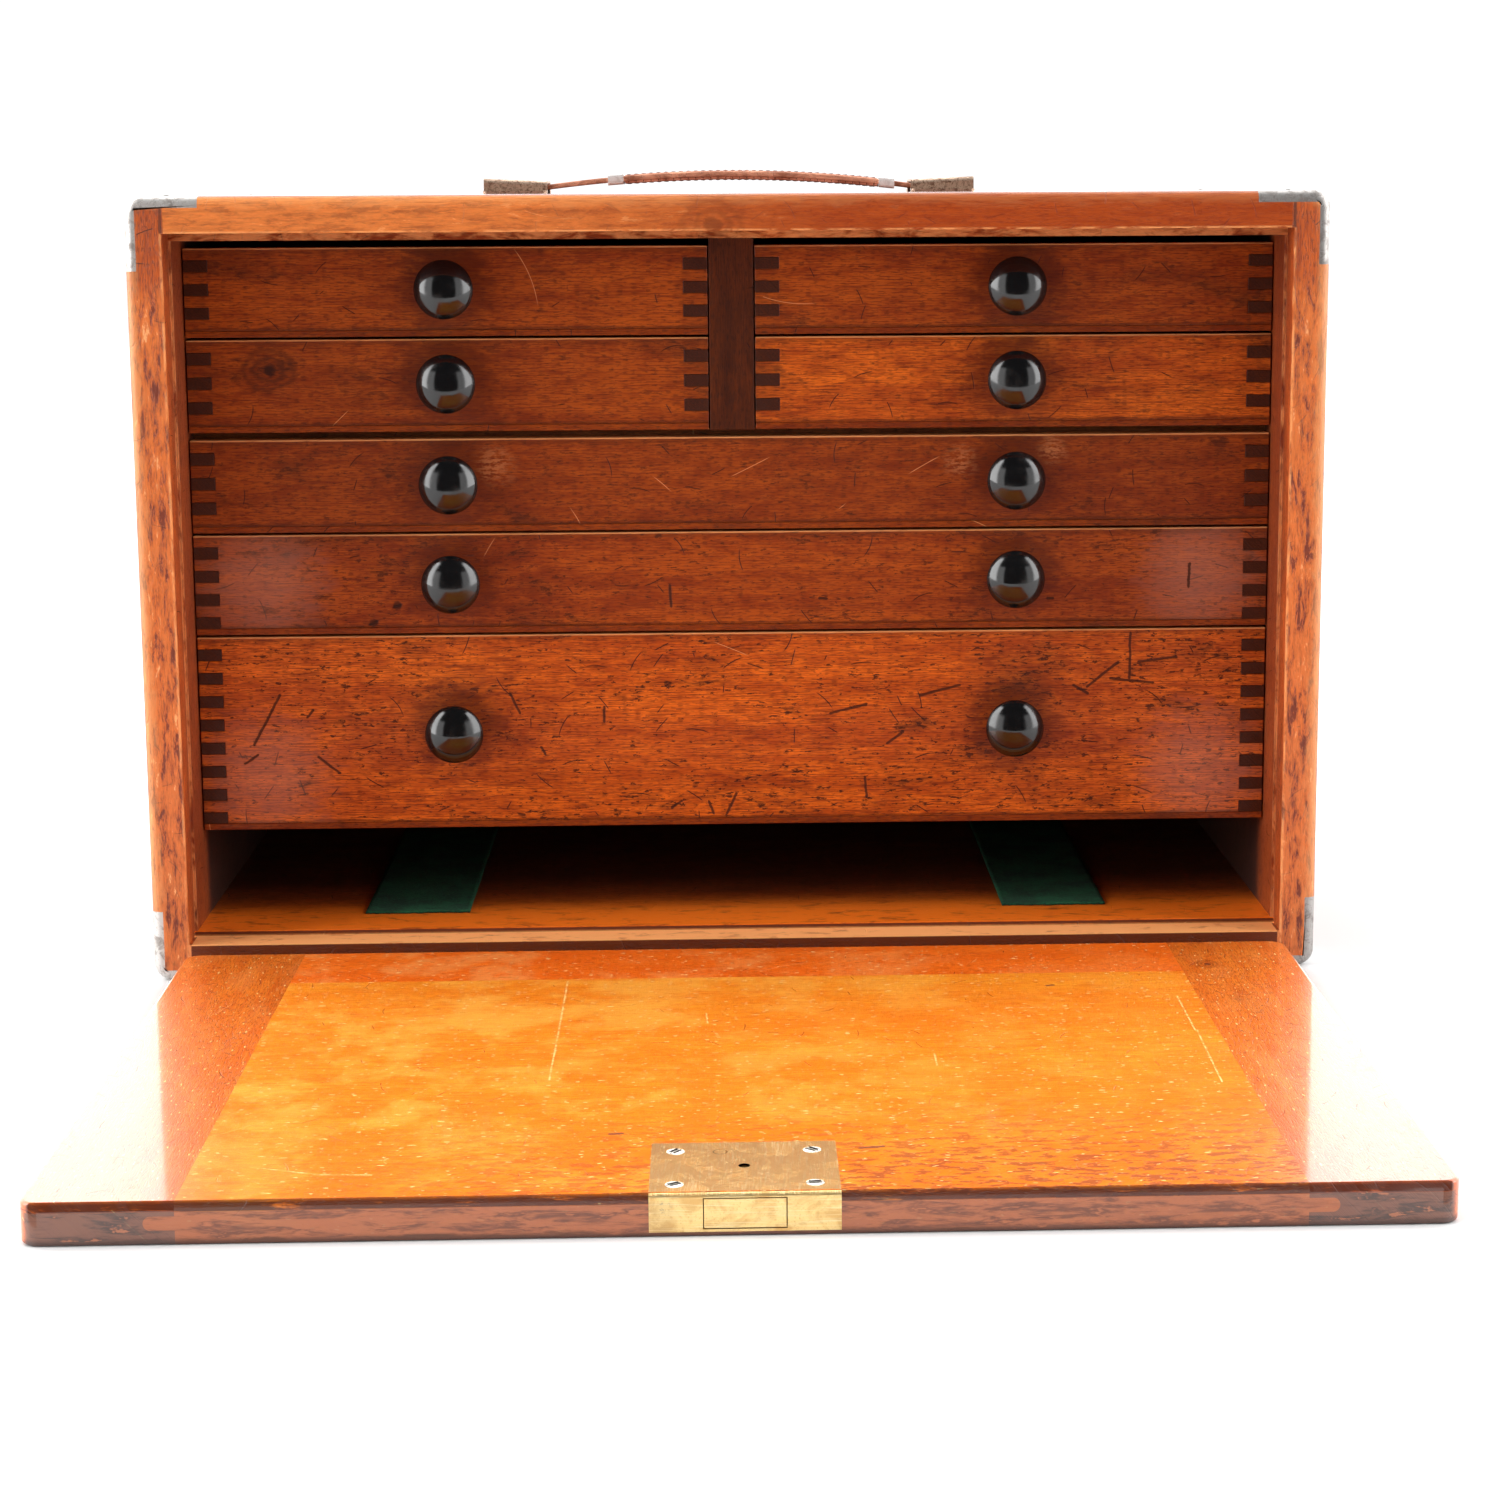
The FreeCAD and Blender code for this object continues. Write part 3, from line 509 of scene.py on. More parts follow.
def knobProfile():
    # Half section from the middle of the foot to the middle of the face, as radius and reach
    shape = knobShape
    ringRadius = shape["rim"] - shape["rimRound"]
    faceCentre = shape["out"] - shape["face"]
    ringOut = faceCentre + math.sqrt((shape["face"] - shape["rimRound"]) ** 2 - ringRadius ** 2)
    meet = math.atan2(ringOut - faceCentre, ringRadius)
    points = [(0.0, 0.0), (shape["foot"], 0.0), (shape["foot"], shape["footOut"] * 0.8),
              (shape["foot"] - shape["footSoft"], shape["footOut"])]

    def rimAt(angle):
        bend = shape["rimRound"]
        return (ringRadius + bend * math.cos(angle), ringOut + bend * math.sin(angle))

    under = math.radians(-50)
    end = rimAt(under)
    for step in range(9):
        share = step / 8
        inward = shape["hollow"] * math.sin(math.pi * share)
        points.append((shape["neck"] + (end[0] - shape["neck"]) * share - inward,
                       shape["neckOut"] + (end[1] - shape["neckOut"]) * share))
    for step in range(1, 13):
        points.append(rimAt(under + (meet - under) * step / 12))
    for step in range(1, 15):
        angle = meet + (math.pi / 2 - meet) * step / 14
        points.append((shape["face"] * math.cos(angle), faceCentre + shape["face"] * math.sin(angle)))
    return points


def spunShape(points, place, turns):
    # A profile of radius and reach, spun round +Z and put in its place
    bm = bmesh.new()
    chain = [bm.verts.new((max(radius, 0.0), 0.0, reach)) for radius, reach in points]
    edges = [bm.edges.new(pair) for pair in zip(chain, chain[1:])]
    bmesh.ops.spin(bm, geom=chain + edges, cent=(0, 0, 0), axis=(0, 0, 1), angle=2 * math.pi, steps=turns,
                   use_merge=True)
    bmesh.ops.remove_doubles(bm, verts=bm.verts, dist=1e-6)
    bmesh.ops.recalc_face_normals(bm, faces=bm.faces)
    bmesh.ops.transform(bm, matrix=place, verts=bm.verts)
    return bm


def slottedHead(screw, place):
    # A low domed disc with a cut across it; its rim lies at the place
    bm = bmesh.new()
    radius, slot, height = screw["radius"], screw["slot"], screw["depth"] + screw["under"]
    bmesh.ops.create_cone(bm, cap_ends=True, cap_tris=False, segments=32, radius1=radius, radius2=radius,
                          depth=height)
    bmesh.ops.translate(bm, verts=bm.verts, vec=(0, 0, -height / 2))
    for side in (-1, 1):
        bmesh.ops.bisect_plane(bm, geom=bm.verts[:] + bm.edges[:] + bm.faces[:],
                               plane_co=(0, side * slot / 2, 0), plane_no=(0, 1, 0))
    top = [face for face in bm.faces if face.normal.z > 0.9]
    groove = [face for face in top if abs(face.calc_center_median().y) < slot / 2]
    sunk = bmesh.ops.extrude_face_region(bm, geom=groove)
    bmesh.ops.delete(bm, geom=groove, context="FACES_ONLY")
    fresh = [item for item in sunk["geom"] if isinstance(item, bmesh.types.BMVert)]
    bmesh.ops.translate(bm, verts=fresh, vec=(0, 0, -screw["depth"]))
    crown = [face for face in bm.faces if face.normal.z > 0.9 and face.calc_center_median().z > -nearly]
    bmesh.ops.inset_region(bm, faces=crown, thickness=0.3 * radius, depth=screw["proud"],
                           use_even_offset=True)
    bmesh.ops.recalc_face_normals(bm, faces=bm.faces)
    bmesh.ops.transform(bm, matrix=place, verts=bm.verts)
    return bm


def joined(parts):
    # Several shapes as one
    whole = bmesh.new()
    for part in parts:
        mesh = bpy.data.meshes.new("part")
        part.to_mesh(mesh)
        part.free()
        whole.from_mesh(mesh)
        bpy.data.meshes.remove(mesh)
    return whole


drawerTone = {"drawer_1_left": 0.9, "drawer_1_right": 0.92, "drawer_2_left": 0.8, "drawer_2_right": 1.45,
              "drawer_3": 0.7, "drawer_4": 0.9, "drawer_5": 1.55}
# For each row: how many dents, the size of their cells, how many flecks
rowDents = {"1": (0.2, 10 * mm, 0.35), "2": (0.2, 11 * mm, 0.35), "3": (0.3, 11 * mm, 0.5),
            "4": (0.45, 12 * mm, 0.65), "5": (0.5, 13 * mm, 0.85)}
drawerWear = lengths(haloInner=12, halo=24, glowPlace=(7, 2), glowInner=6, glow=50, top=3.5, slip=1.5,
                     arris=0.75, end=16, sheenPlace=(26, 18), sheenInner=4, sheen=34, cut=0.75, gouge=2.2,
                     knot=(-181.0, 236.5), knotSize=12, soft=0.35, sideSoft=0.25, bottomSoft=0.3)
# Places in millimetres from the middle of the case's underside
drawerCuts = {
    "drawer_4": [(-134.8, 142.6, -132.1, 143.2), (-144.5, 135.3, -141.7, 136.9), (-25.4, 150.2, -25.2, 141.5),
                 (33.9, 144.3, 37.0, 144.1), (182.1, 157.0, 181.6, 147.5), (125.0, 143.4, 127.4, 143.4)],
    "drawer_5": [(-181.0, 107.5, -192.0, 87.3), (-190.5, 83.3, -195.9, 79.7), (-168.0, 101.3, -170.5, 98.3),
                 (-166.6, 82.3, -158.2, 75.4), (-89.7, 107.2, -85.9, 99.0), (-52.2, 101.3, -52.3, 95.2),
                 (-77.8, 85.2, -76.3, 82.4), (-87.2, 57.9, -84.8, 57.4), (-25.7, 59.6, -21.7, 62.5),
                 (-10.8, 62.3, -8.9, 57.2), (153.9, 117.4, 141.3, 107.4), (135.8, 108.1, 141.9, 104.7),
                 (158.7, 129.2, 158.4, 110.6), (150.6, 110.7, 168.1, 108.7), (161.9, 117.3, 177.4, 119.2),
                 (74.2, 104.7, 90.3, 108.6), (38.1, 97.7, 52.8, 101.3), (60.8, 85.2, 67.5, 89.8),
                 (52.1, 71.6, 52.7, 63.3), (-3.7, 57.2, 0.4, 65.4)]}
gouges = [(-134.2, 142.8, -132.8, 143.1), (-143.6, 135.8, -142.2, 136.5)]
rubbedPatches = [(-93.6, 198.5, 11), (90.0, 199.0, 9), (127.0, 203.0, 8)]


def toned(look, tone, dents):
    # The same wood, lit or worn lighter or darker
    found = dict(look, dents=dents[0], dentSize=dents[1], flecks=dents[2])
    for part in ("pale", "deep"):
        red, green, blue, solid = look[part]
        found[part] = (red * tone, green * tone ** 1.15, blue * tone ** 1.2, solid)
    return found


drawers = sorted({name[:-len("_front")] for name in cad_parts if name.endswith("_front")})


def knobPlaces(drawer):
    low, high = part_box(drawer + "_knobs")
    z = (low.z + high.z) / 2
    if high.x - low.x < 4 * knobShape["rim"]:
        return [((low.x + high.x) / 2, z)]
    return [(low.x + knobShape["rim"], z), (high.x - knobShape["rim"], z)]


def frontFinish(drawer, index):
    low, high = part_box(drawer + "_front")
    dents = rowDents[drawer[len("drawer_")]]
    wood = Wood(drawer + "Wood", toned(drawerLook, drawerTone[drawer], dents), "X", 0.31 * index)
    wear = drawerWear
    # Painted shade: a darker ring round each knob, and a broad painted shadow centred a little right of and
    # above it
    for x, z in knobPlaces(drawer):
        wood.over(wood.ring((x, z), wear["haloInner"], wear["halo"]) * 0.55, tint(72, 26, 12), 0.4)
        place = (x + wear["glowPlace"][0], z + wear["glowPlace"][1])
        wood.over(wood.ring(place, wear["glowInner"], wear["glow"]) * 0.25, tint(104, 34, 12))
    wood.over(wood.near(wood.z, high.z, wear["top"], 0.6) * 0.35, drawerLook["stain"], 0.45)
    wood.over(wood.near(wood.z, low.z, wear["slip"], 0.4) * 0.6, drawerLook["stain"], 0.45)
    # A pale line along the top arris, worn and a painted highlight
    wood.over(wood.near(wood.z, high.z, wear["arris"], 0.3) * 0.95, drawerLook["worn"], 0.5)
    # Painted shade towards each end; on the two lowest rows, a painted sheen near each lower corner
    for end in (low.x, high.x):
        wood.over(wood.near(wood.x, end, wear["end"], 0.6) * 0.2, drawerLook["stain"], 0.45)
        if drawer in drawerCuts:
            place = (end + math.copysign(wear["sheenPlace"][0], -end), low.z + wear["sheenPlace"][1])
            wood.over(wood.ring(place, wear["sheenInner"], wear["sheen"]) * 0.22, tint(214, 160, 140), 0.5)
    if drawer in drawerCuts:
        wood.cuts(wood.x, wood.z, drawerCuts[drawer], wear["cut"], drawerLook["pore"], 0.85, 1.0)
    if drawer == "drawer_4":
        wood.cuts(wood.x, wood.z, gouges, wear["gouge"], drawerLook["pore"], 0.8, 1.0)
    if drawer == "drawer_2_left":
        wood.knot(wood.x, wood.z, wear["knot"], wear["knotSize"])
    if drawer == "drawer_3":
        for x, z, width in rubbedPatches:
            patch = wood.ring((x * mm, z * mm), 1 * mm, width * mm)
            wood.over(patch * wood.flecks.rise(0.4, 0.6) * 0.55, tint(206, 128, 76), 0.5)
    return wood.done()


sideWood = Wood("drawerSideWood", toned(drawerLook, 0.6, (0.3, 11 * mm, 0.4)), "Y", 4.2)
sideWood.endGrain(sideWood.y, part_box("drawer_5_front")[0].y)
sideWood.done()
slipWood = Wood("drawerSlipWood", toned(drawerLook, 0.62, (0.2, 11 * mm, 0.3)), "X", 5.3).done()
backWood = Wood("drawerBackWood", insideLook, "X", 6.1).done()

for index, drawer in enumerate(drawers):
    finish = frontFinish(drawer, index)
    for part, name, soft, wood, slot in (("_front", "_faceBoard", "soft", finish, "drawer_wood"),
                                         ("_sides", "_sideBoards", "sideSoft", sideWood, "drawer_wood"),
                                         ("_back", "_backBoard", "sideSoft", backWood, "drawer_wood"),
                                         ("_bottom", "_bottomBoard", "bottomSoft", slipWood, "inner_wood")):
        softened(drawer + part, drawer + name, drawerWear[soft], wood, drawer)
    face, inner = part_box(drawer + "_front")[0].y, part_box(drawer + "_front")[1].y
    parts = []
    for x, z in knobPlaces(drawer):
        parts.append(spunShape(knobProfile(), facing((x, face, z), (0, -1, 0)), knobTurns))
        parts.append(slottedHead(knobScrew, facing((x, inner + knobScrew["seat"], z), (0, 1, 0))))
    nodes = (drawer + "_knobs",)
    addPiece(drawer + "_roundKnobs", joined(parts), knobBlack, drawer, nodes, 40.0)
print("drawers made:", len(drawers))


# Panel

panelLow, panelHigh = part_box("panel_end_battens")
panelHead, panelTop = panelLow.y, panelHigh.z
panelWear = lengths(cloud=(30, 11, 30), streaks=(36, 1.6), crackle=(9, 3), nicks=(3.5, 1.2), grime=(20, 4, 3),
                    headArea=(10, 110), outer=(0.2, 0.6), bevel=(3.0, 3.4), bevelIn=(0.6, 1.4), edge=2.4,
                    foot=(0.8, 2.6), footIn=4, footFray=6, scratch=0.4, spot=1.2, knot=(-157.8, 178.5),
                    knotSize=6, soft=0.3)
# Places in millimetres, seen from above
panelScratches = [(-63.9, -170.0, -63.8, -238.0), (-63.8, -238.0, -64.0, -288.9),
                  (159.9, -200.4, 159.4, -242.9), (160.1, -242.9, 158.5, -301.7),
                  (-150.0, -370.0, -128.0, -378.0), (-128.0, -378.0, -112.0, -379.0),
                  (66.0, -266.0, 66.0, -279.0), (96.0, -212.0, 108.0, -212.5), (-12.0, -214.0, -11.5, -226.0)]
panelSpots = [(-41.8, -344.7, -38.0, -343.9), (113.9, -184.0, 116.5, -183.6), (35.8, -361.5, 43.3, -360.0)]
scratchPale = tint(255, 226, 150)


def panelFinish(name, look, axis, seed):
    wood = Wood(name, look, axis, seed)
    level = axis == "X"
    cloud = wood.noise(wood.grain, panelWear["cloud"], 4.0, 0.65, 0.2, shift=0.53)
    streaks = wood.fine(wood.skin, panelWear["streaks"], 2.0, 0.6, 0.21)
    wood.over(streaks.rise(0.48, 0.7) * 0.4, look["head"])
    left = wood.x.fall(-0.1, 0.2) * 0.3 + 0.1
    wood.over(cloud.rise(0.45, 0.65) * (left if level else 0.12), look["worn"])
    nearHead = (wood.y - panelHead).fall(*panelWear["headArea"])
    right = wood.x.rise(-0.05, 0.15) * 0.2
    wood.over((cloud.fall(0.35, 0.6) * 0.35 + 0.35 + right) * nearHead, look["head"])
    crackle = wood.fine(wood.skin, panelWear["crackle"], 3.0, 0.75, 0.33)
    dark = (crackle + cloud * 0.2 + nearHead * 0.08).rise(0.67, 0.75) * (1.0 if level else 0.3)
    wood.over(dark * nearHead * (wood.x.rise(-0.19, 0.05) * 0.7 + 0.1), tint(146, 60, 16), 0.5, 0.6)
    nicks = wood.fine(wood.skin, panelWear["nicks"], 1.0, 0.5, 0.9).rise(0.74, 0.78)
    wood.over(nicks * 0.8, scratchPale, 0.5)
    outer = wood.z.fall(*panelWear["outer"])
    wood.over(outer * (0.9 - cloud * 0.2), tint(130, 58, 22), 0.4)
    return wood


def panelEdge(wood, face, dirt):
    # Matt worn edge of the head, with a dark band of painted shade along the bevel above it
    grime = wood.noise(wood.where, panelWear["grime"], 4.0, 0.7, 0.4, shift=0.18)
    below = (panelTop - wood.z).rise(*panelWear["bevel"])
    edge = wood.near(wood.y, panelHead, panelWear["edge"], 0.0) * below
    wood.over(edge * 0.92, face, 0.65)
    wood.over(edge * grime.rise(0.45, 0.62) * 0.8, dirt, 0.6, 0.5)
    wood.over(edge * (grime + wood.mottle * 0.5).rise(0.86, 0.94) * 0.6, tint(206, 120, 76), 0.6)
    # Painted shade on the bevel, lightened a little where the grime pattern is high
    bevel = (1.0 - below) * (wood.y - panelHead).fall(*panelWear["bevelIn"])
    wood.over(bevel * (1.0 - grime.rise(0.55, 0.7) * 0.6) * 0.95, tint(72, 26, 8), 0.3)
    foot = (wood.z + (grime - 0.5) * panelWear["footFray"]).fall(*panelWear["foot"])
    foot = foot * wood.near(wood.y, panelHead, panelWear["footIn"], 0.0)
    wood.over(foot * 0.8, tint(60, 30, 18), 0.5)


boardWood = panelFinish("panelBoardWood", boardLook, "X", 7.7)
broken = (boardWood.flecks + boardWood.mottle).rise(0.9, 1.05) * 0.6 + 0.12
boardWood.cuts(boardWood.x, boardWood.y, panelScratches, panelWear["scratch"], scratchPale, broken)
boardWood.cuts(boardWood.x, boardWood.y, panelSpots, panelWear["spot"], tint(96, 50, 40), 0.8, 1.0)
panelEdge(boardWood, tint(170, 100, 68), tint(96, 56, 44))
boardWood.done()
railWood = panelFinish("panelRailWood", railLook, "X", 8.3).done()
battenWood = panelFinish("panelBattenWood", battenLook, "Y", 9.1)
battenWood.knot(battenWood.y, battenWood.x, panelWear["knot"], panelWear["knotSize"])
panelEdge(battenWood, tint(112, 76, 62), tint(60, 44, 40))
battenWood.done()
for node, name, finish, slot in (("panel_board", "panel_centreBoard", boardWood, "panel_board_wood"),
                                 ("panel_foot_rail", "panel_rail", railWood, "panel_frame_wood"),
                                 ("panel_end_battens", "panel_battens", battenWood, "panel_frame_wood")):
    softened(node, name, panelWear["soft"], finish, "panel")
print("panel made")


# Metal

metalWear = lengths(pits=0.7, soft=0.15, lockSoft=0.12, roof=(0.2, 0.6))
# Pairs are distances below the panel's face, or along it, between which a mark fades in or out
lockLook = lengths(lines=(14, 0.3, 14), edgeLines=(14, 14, 0.3), edge=(0.6, 1.0), rivet=(-7.3, -362.9),
                   rivetRadius=2.1, rivetLine=(0.1, 0.35), rivetDown=(0.5, 1.0), pin=(1.7, 1.9),
                   tarnish=(4, 2, 3), leftEnd=(-25, -17), leftDown=(1.5, 3.5), fold=1.3, foldLength=50,
                   relief=0.06)
quarter = 1.5708
brushed = ((quarter, 0.1), (1.47, 0.5))  # the turn and the shift of each set of lines


class Metal(Finish):
    # Sheet metal with cloudy dull patches and fine pits
    relief = 0.08 * mm

    def __init__(self, name, colour, rough, dull, dullRough, size=4 * mm, metallic=1.0):
        super().__init__(name, {"Metallic": metallic})
        self.where = self.place()
        self.x, self.y, self.z = self.split(self.where)
        cloud = self.noise(self.where, size, 4.0, 0.65, 0.6)
        pits = self.noise(self.where, metalWear["pits"], 1.0, 0.7, shift=0.3).rise(0.6, 0.7)
        patch = cloud.rise(0.45, 0.65)
        self.colour = self.mix(patch, colour, dull)
        self.over(pits * 0.6, dull)
        self.rough = rough + patch * (dullRough - rough) + pits * 0.1
        self.height = cloud * 0.4 - pits


bracketSteel = Metal("bracketSteel", tint(210, 206, 202), 0.4, tint(152, 144, 138), 0.55, metallic=0.7)
# Painted dark reflection: the caps on the right side are painted darker
bracketSteel.over(bracketSteel.x.rise(0.0, 0.1) * 0.55, tint(110, 106, 104))
bracketSteel.done()
nailSteel = Metal("nailSteel", tint(150, 146, 140), 0.4, tint(86, 76, 68), 0.6).done()
housingSteel = Metal("housingSteel", tint(206, 180, 158), 0.5, tint(130, 100, 82), 0.65, 1.6 * mm)
# Painted shade on the housings' roofs, where light from above falls
roofShade = (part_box("handle_housings")[1].z - housingSteel.z).fall(*metalWear["roof"])
housingSteel.over(roofShade * 0.65, tint(104, 84, 68))
housingSteel.done()
keeperSteel = Metal("keeperSteel", tint(250, 250, 248), 0.35, tint(226, 224, 220), 0.45, metallic=0.3).done()
screwSteel = Metal("screwSteel", tint(250, 246, 238), 0.45, tint(214, 206, 192), 0.55, 2 * mm, 0.15).done()


def brassFinish():
    # Brushed plate with a rivet's ring, painted shade in the hole for the key's pin and tarnish at the left
    # end
    brass = Metal("brassPlate", tint(248, 214, 146), 0.4, tint(226, 182, 116), 0.5, 8 * mm)
    brass.relief = lockLook["relief"]
    down = panelTop - brass.z
    onEdge = down.rise(*lockLook["edge"])
    for turn, shift in brushed:
        lines = brass.noise(brass.where, lockLook["lines"], 0.0, turn=turn, shift=shift).rise(0.6, 0.7)
        across = brass.noise(brass.where, lockLook["edgeLines"], 0.0, turn=turn - quarter, shift=shift)
        lines = lines * (1.0 - onEdge) + across.rise(0.6, 0.7) * onEdge
        brass.over(lines * 0.45, tint(252, 232, 180))
        brass.height = brass.height - lines * 0.5

    def gapTo(place):
        return ((brass.x - place[0]) ** 2.0 + (brass.y - place[1]) ** 2.0) ** 0.5

    rim = abs(gapTo(lockLook["rivet"]) - lockLook["rivetRadius"]).fall(*lockLook["rivetLine"])
    rim = rim * down.fall(*lockLook["rivetDown"])
    brass.over(rim * 0.7, tint(150, 108, 60))
    brass.height = brass.height - rim
    # Painted shade, near black, in the hole for the key's pin
    low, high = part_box("keyhole_escutcheon")
    pin = gapTo((low + high) / 2).fall(*lockLook["pin"])
    brass.over(pin * (1.0 - onEdge), tint(16, 12, 6))
    tarnish = brass.noise(brass.where, lockLook["tarnish"], 3.0, 0.6, shift=0.4).rise(0.58, 0.68)
    leftEnd = brass.x.fall(*lockLook["leftEnd"]) * down.rise(*lockLook["leftDown"])
    brass.over((tarnish * leftEnd + leftEnd * 0.3).atMost(1.0) * 0.6, tint(140, 118, 108))
    return brass.done()


brass = brassFinish()
softened("corner_brackets", "cornerCaps", metalWear["soft"], bracketSteel, "root", 35.0)
softened("handle_housings", "handleHousings", metalWear["soft"], housingSteel, "root", 35.0)
bm = mergedCopy("lock_case")
fold = [edge for edge in bm.edges if edge.calc_length() > lockLook["foldLength"] and edge.is_convex and all(
        vert.co.y < panelHead + 2 * nearly and vert.co.z > panelTop - 2 * nearly for vert in edge.verts)]
bmesh.ops.bevel(bm, geom=fold, offset=lockLook["fold"], offset_type="OFFSET", affect="EDGES", segments=5,
                profile=0.5, material=-1)
softenEdges(bm, metalWear["lockSoft"])
addPiece("lockPlates", bm, brass, "panel", ("lock_case",), 35.0, True)
softened("lock_bolt", "lockBolt", metalWear["lockSoft"], brass, "lock_bolt", 35.0)
for node, finish in (("strike_plate", brass), ("keyhole_escutcheon", brass), ("bracket_nails", nailSteel),
                     ("handle_end_left", housingSteel), ("handle_end_right", housingSteel)):
    dress(node, finish)

lockScrew = lengths(radius=2.8, proud=0.25, slot=0.8, depth=0.8, under=0.4, inset=2.9)
screwTurns = [0.5, 0.9, 0.1, -0.7]
low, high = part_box("lock_screws")
inset = lockScrew["inset"]
places = [(x, y) for x in (low.x + inset, high.x - inset) for y in (low.y + inset, high.y - inset)]
heads = [slottedHead(lockScrew, Matrix.Translation((x, y, panelTop)) @ Matrix.Rotation(turn, 4, "Z"))
         for (x, y), turn in zip(places, screwTurns)]
addPiece("lockScrewHeads", joined(heads), screwSteel, "panel", ("lock_screws",), 35.0)
print("metal made")


# Baize

baizeLook = {"deep": tint(6, 46, 28), "pale": tint(22, 92, 56), "columns": 28, "rows": 110,
             **lengths(width=42, wave=0.25, fray=0.7, thick=0.9, off=0.05, wool=0.9, fluff=12, relief=0.4)}

baizeWool = Finish("baizeWool", {"Roughness": 0.95})
wool = baizeWool.noise(baizeWool.place(), baizeLook["wool"], 3.0, 0.7)
fluff = baizeWool.noise(baizeWool.place(), baizeLook["fluff"], 2.0, 0.6)
felted = (wool * 0.6 + fluff * 0.4).rise(0.35, 0.65)
baizeWool.feed("Base Color", baizeWool.mix(felted, baizeLook["deep"], baizeLook["pale"]))
baizeWool.bump(wool, baizeLook["relief"], 0.8)

low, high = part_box("baize_strips")
chance = random.Random(7)
width, length = baizeLook["width"], high.y - low.y
for word, x0 in (("Left", low.x), ("Right", high.x - width)):
    bm = bmesh.new()
    bmesh.ops.create_grid(bm, x_segments=baizeLook["columns"], y_segments=baizeLook["rows"], size=0.5)
    for vert in bm.verts:
        x, y = vert.co.x, vert.co.y
        fray = baizeLook["fray"] * chance.random()
        if abs(y) > 0.499:
            y = math.copysign(0.5 - fray / length, y)
        wave = math.sin(31 * y + x0 * 90) * math.sin(7 * x + 13 * y) * 0.5 + 0.5
        vert.co = (x0 + (x + 0.5) * width, low.y + (y + 0.5) * length,
                   low.z + baizeLook["off"] + baizeLook["wave"] * wave)
    bmesh.ops.recalc_face_normals(bm, faces=bm.faces)
    nodes = ("baize_strips",) if word == "Left" else ()
    piece = addPiece("baize" + word, bm, baizeWool, "root", nodes, 60.0)
    solid = piece.modifiers.new("thick", "SOLIDIFY")
    solid.thickness = baizeLook["thick"]
    solid.offset = 1.0
print("baize made")


# Handle

strap = {"steps": 60, **lengths(mouth=75, lowEnd=1.6, lowMiddle=6.4, highEnd=3.6, highMiddle=8.7, width=22,
                                blendFrom=84, blendTo=8, soft=0.5)}
grip = {"steps": 40, **lengths(under=1.0, over=0.35, width=21, soft=0.6, stitch=2.9, stitchRow=9.0,
                               thread=0.45)}
keeper = {"steps": 6, **lengths(places=(-46.8, 65), half=3.2, width=24, wall=1.1, soft=0.9)}
leather = lengths(creases=1.3, cloud=(12, 6, 6), cracks=(0.9, 6, 2), edge=(0.6, 1.2), relief=0.2, twist=0.3)


def strapArc(middle, end):
    # Height along x of the arc through the middle and both mouths, level beyond them
    rise = middle - end
    radius = (strap["mouth"] ** 2 + rise ** 2) / (2 * rise)

    def height(x):
        reach = min(abs(x), strap["mouth"])
        return caseTop + middle - radius + math.sqrt(radius ** 2 - reach ** 2)

    return height


def raised(height, by):
    return lambda x: height(x) + by


strapLow = strapArc(strap["lowMiddle"], strap["lowEnd"])
strapHigh = strapArc(strap["highMiddle"], strap["highEnd"])
gripLow, gripHigh = raised(strapLow, -grip["under"]), raised(strapHigh, grip["over"])


def leatherFinish(name, pale, deep):
    finish = Finish(name, {"IOR": 1.45})
    where = finish.place()
    spread = finish.spread(where, leather["creases"])
    creases = finish.node("ShaderNodeTexVoronoi", values={"Vector": spread, "Scale": 1.0}, output="Distance")
    cloud = finish.noise(where, leather["cloud"], 4.0, 0.65, 0.5)
    crack = finish.noise(where, leather["cracks"], 2.0, 0.6).rise(0.58, 0.68)
    finish.colour = finish.mix(cloud.rise(0.35, 0.65), deep, pale)
    # Painted shade on the strap's flat faces, above and below, which catch the light from above
    flat = (strap["width"] / 2 - abs(finish.split(where)[1])).rise(*leather["edge"])
    finish.over(flat * 0.6, tint(118, 60, 38))
    finish.over(crack * 0.5, deep)
    finish.feed("Base Color", finish.colour)
    finish.feed("Roughness", cloud * 0.2 + 0.42)
    finish.bump(creases * 0.5 - crack, leather["relief"], 0.7)
    return finish


strapLeather = leatherFinish("strapLeather", tint(226, 160, 128), tint(150, 92, 66))
gripLeather = leatherFinish("gripLeather", tint(236, 168, 138), tint(178, 108, 80))
threadDark = Finish("threadDark", {"Roughness": 0.8})
twist = threadDark.noise(threadDark.place(), leather["twist"], 2.0)
threadDark.feed("Base Color", threadDark.mix(twist, tint(64, 34, 26), tint(120, 76, 58)))


def ribbon(x0, x1, width, low, high, steps, soft):
    # A flat bar along X with soft long edges, which follows the two heights
    thick = high((x0 + x1) / 2) - low((x0 + x1) / 2)
    bm = bmesh.new()
    bmesh.ops.create_cube(bm, size=1.0)
    bmesh.ops.scale(bm, vec=(x1 - x0, width, thick), verts=bm.verts)
    bmesh.ops.translate(bm, vec=((x0 + x1) / 2, 0, thick / 2), verts=bm.verts)

    def longEdges():
        return [edge for edge in bm.edges if abs(edge.verts[0].co.x - edge.verts[1].co.x) > (x1 - x0) / 2]

    bmesh.ops.bevel(bm, geom=longEdges(), offset=soft, offset_type="OFFSET", affect="EDGES", segments=3,
                    profile=0.5, material=-1)
    bmesh.ops.subdivide_edges(bm, edges=longEdges(), cuts=steps, use_grid_fill=True)
    for vert in bm.verts:
        share = vert.co.z / thick
        vert.co.z = low(vert.co.x) * (1 - share) + high(vert.co.x) * share
    return bm


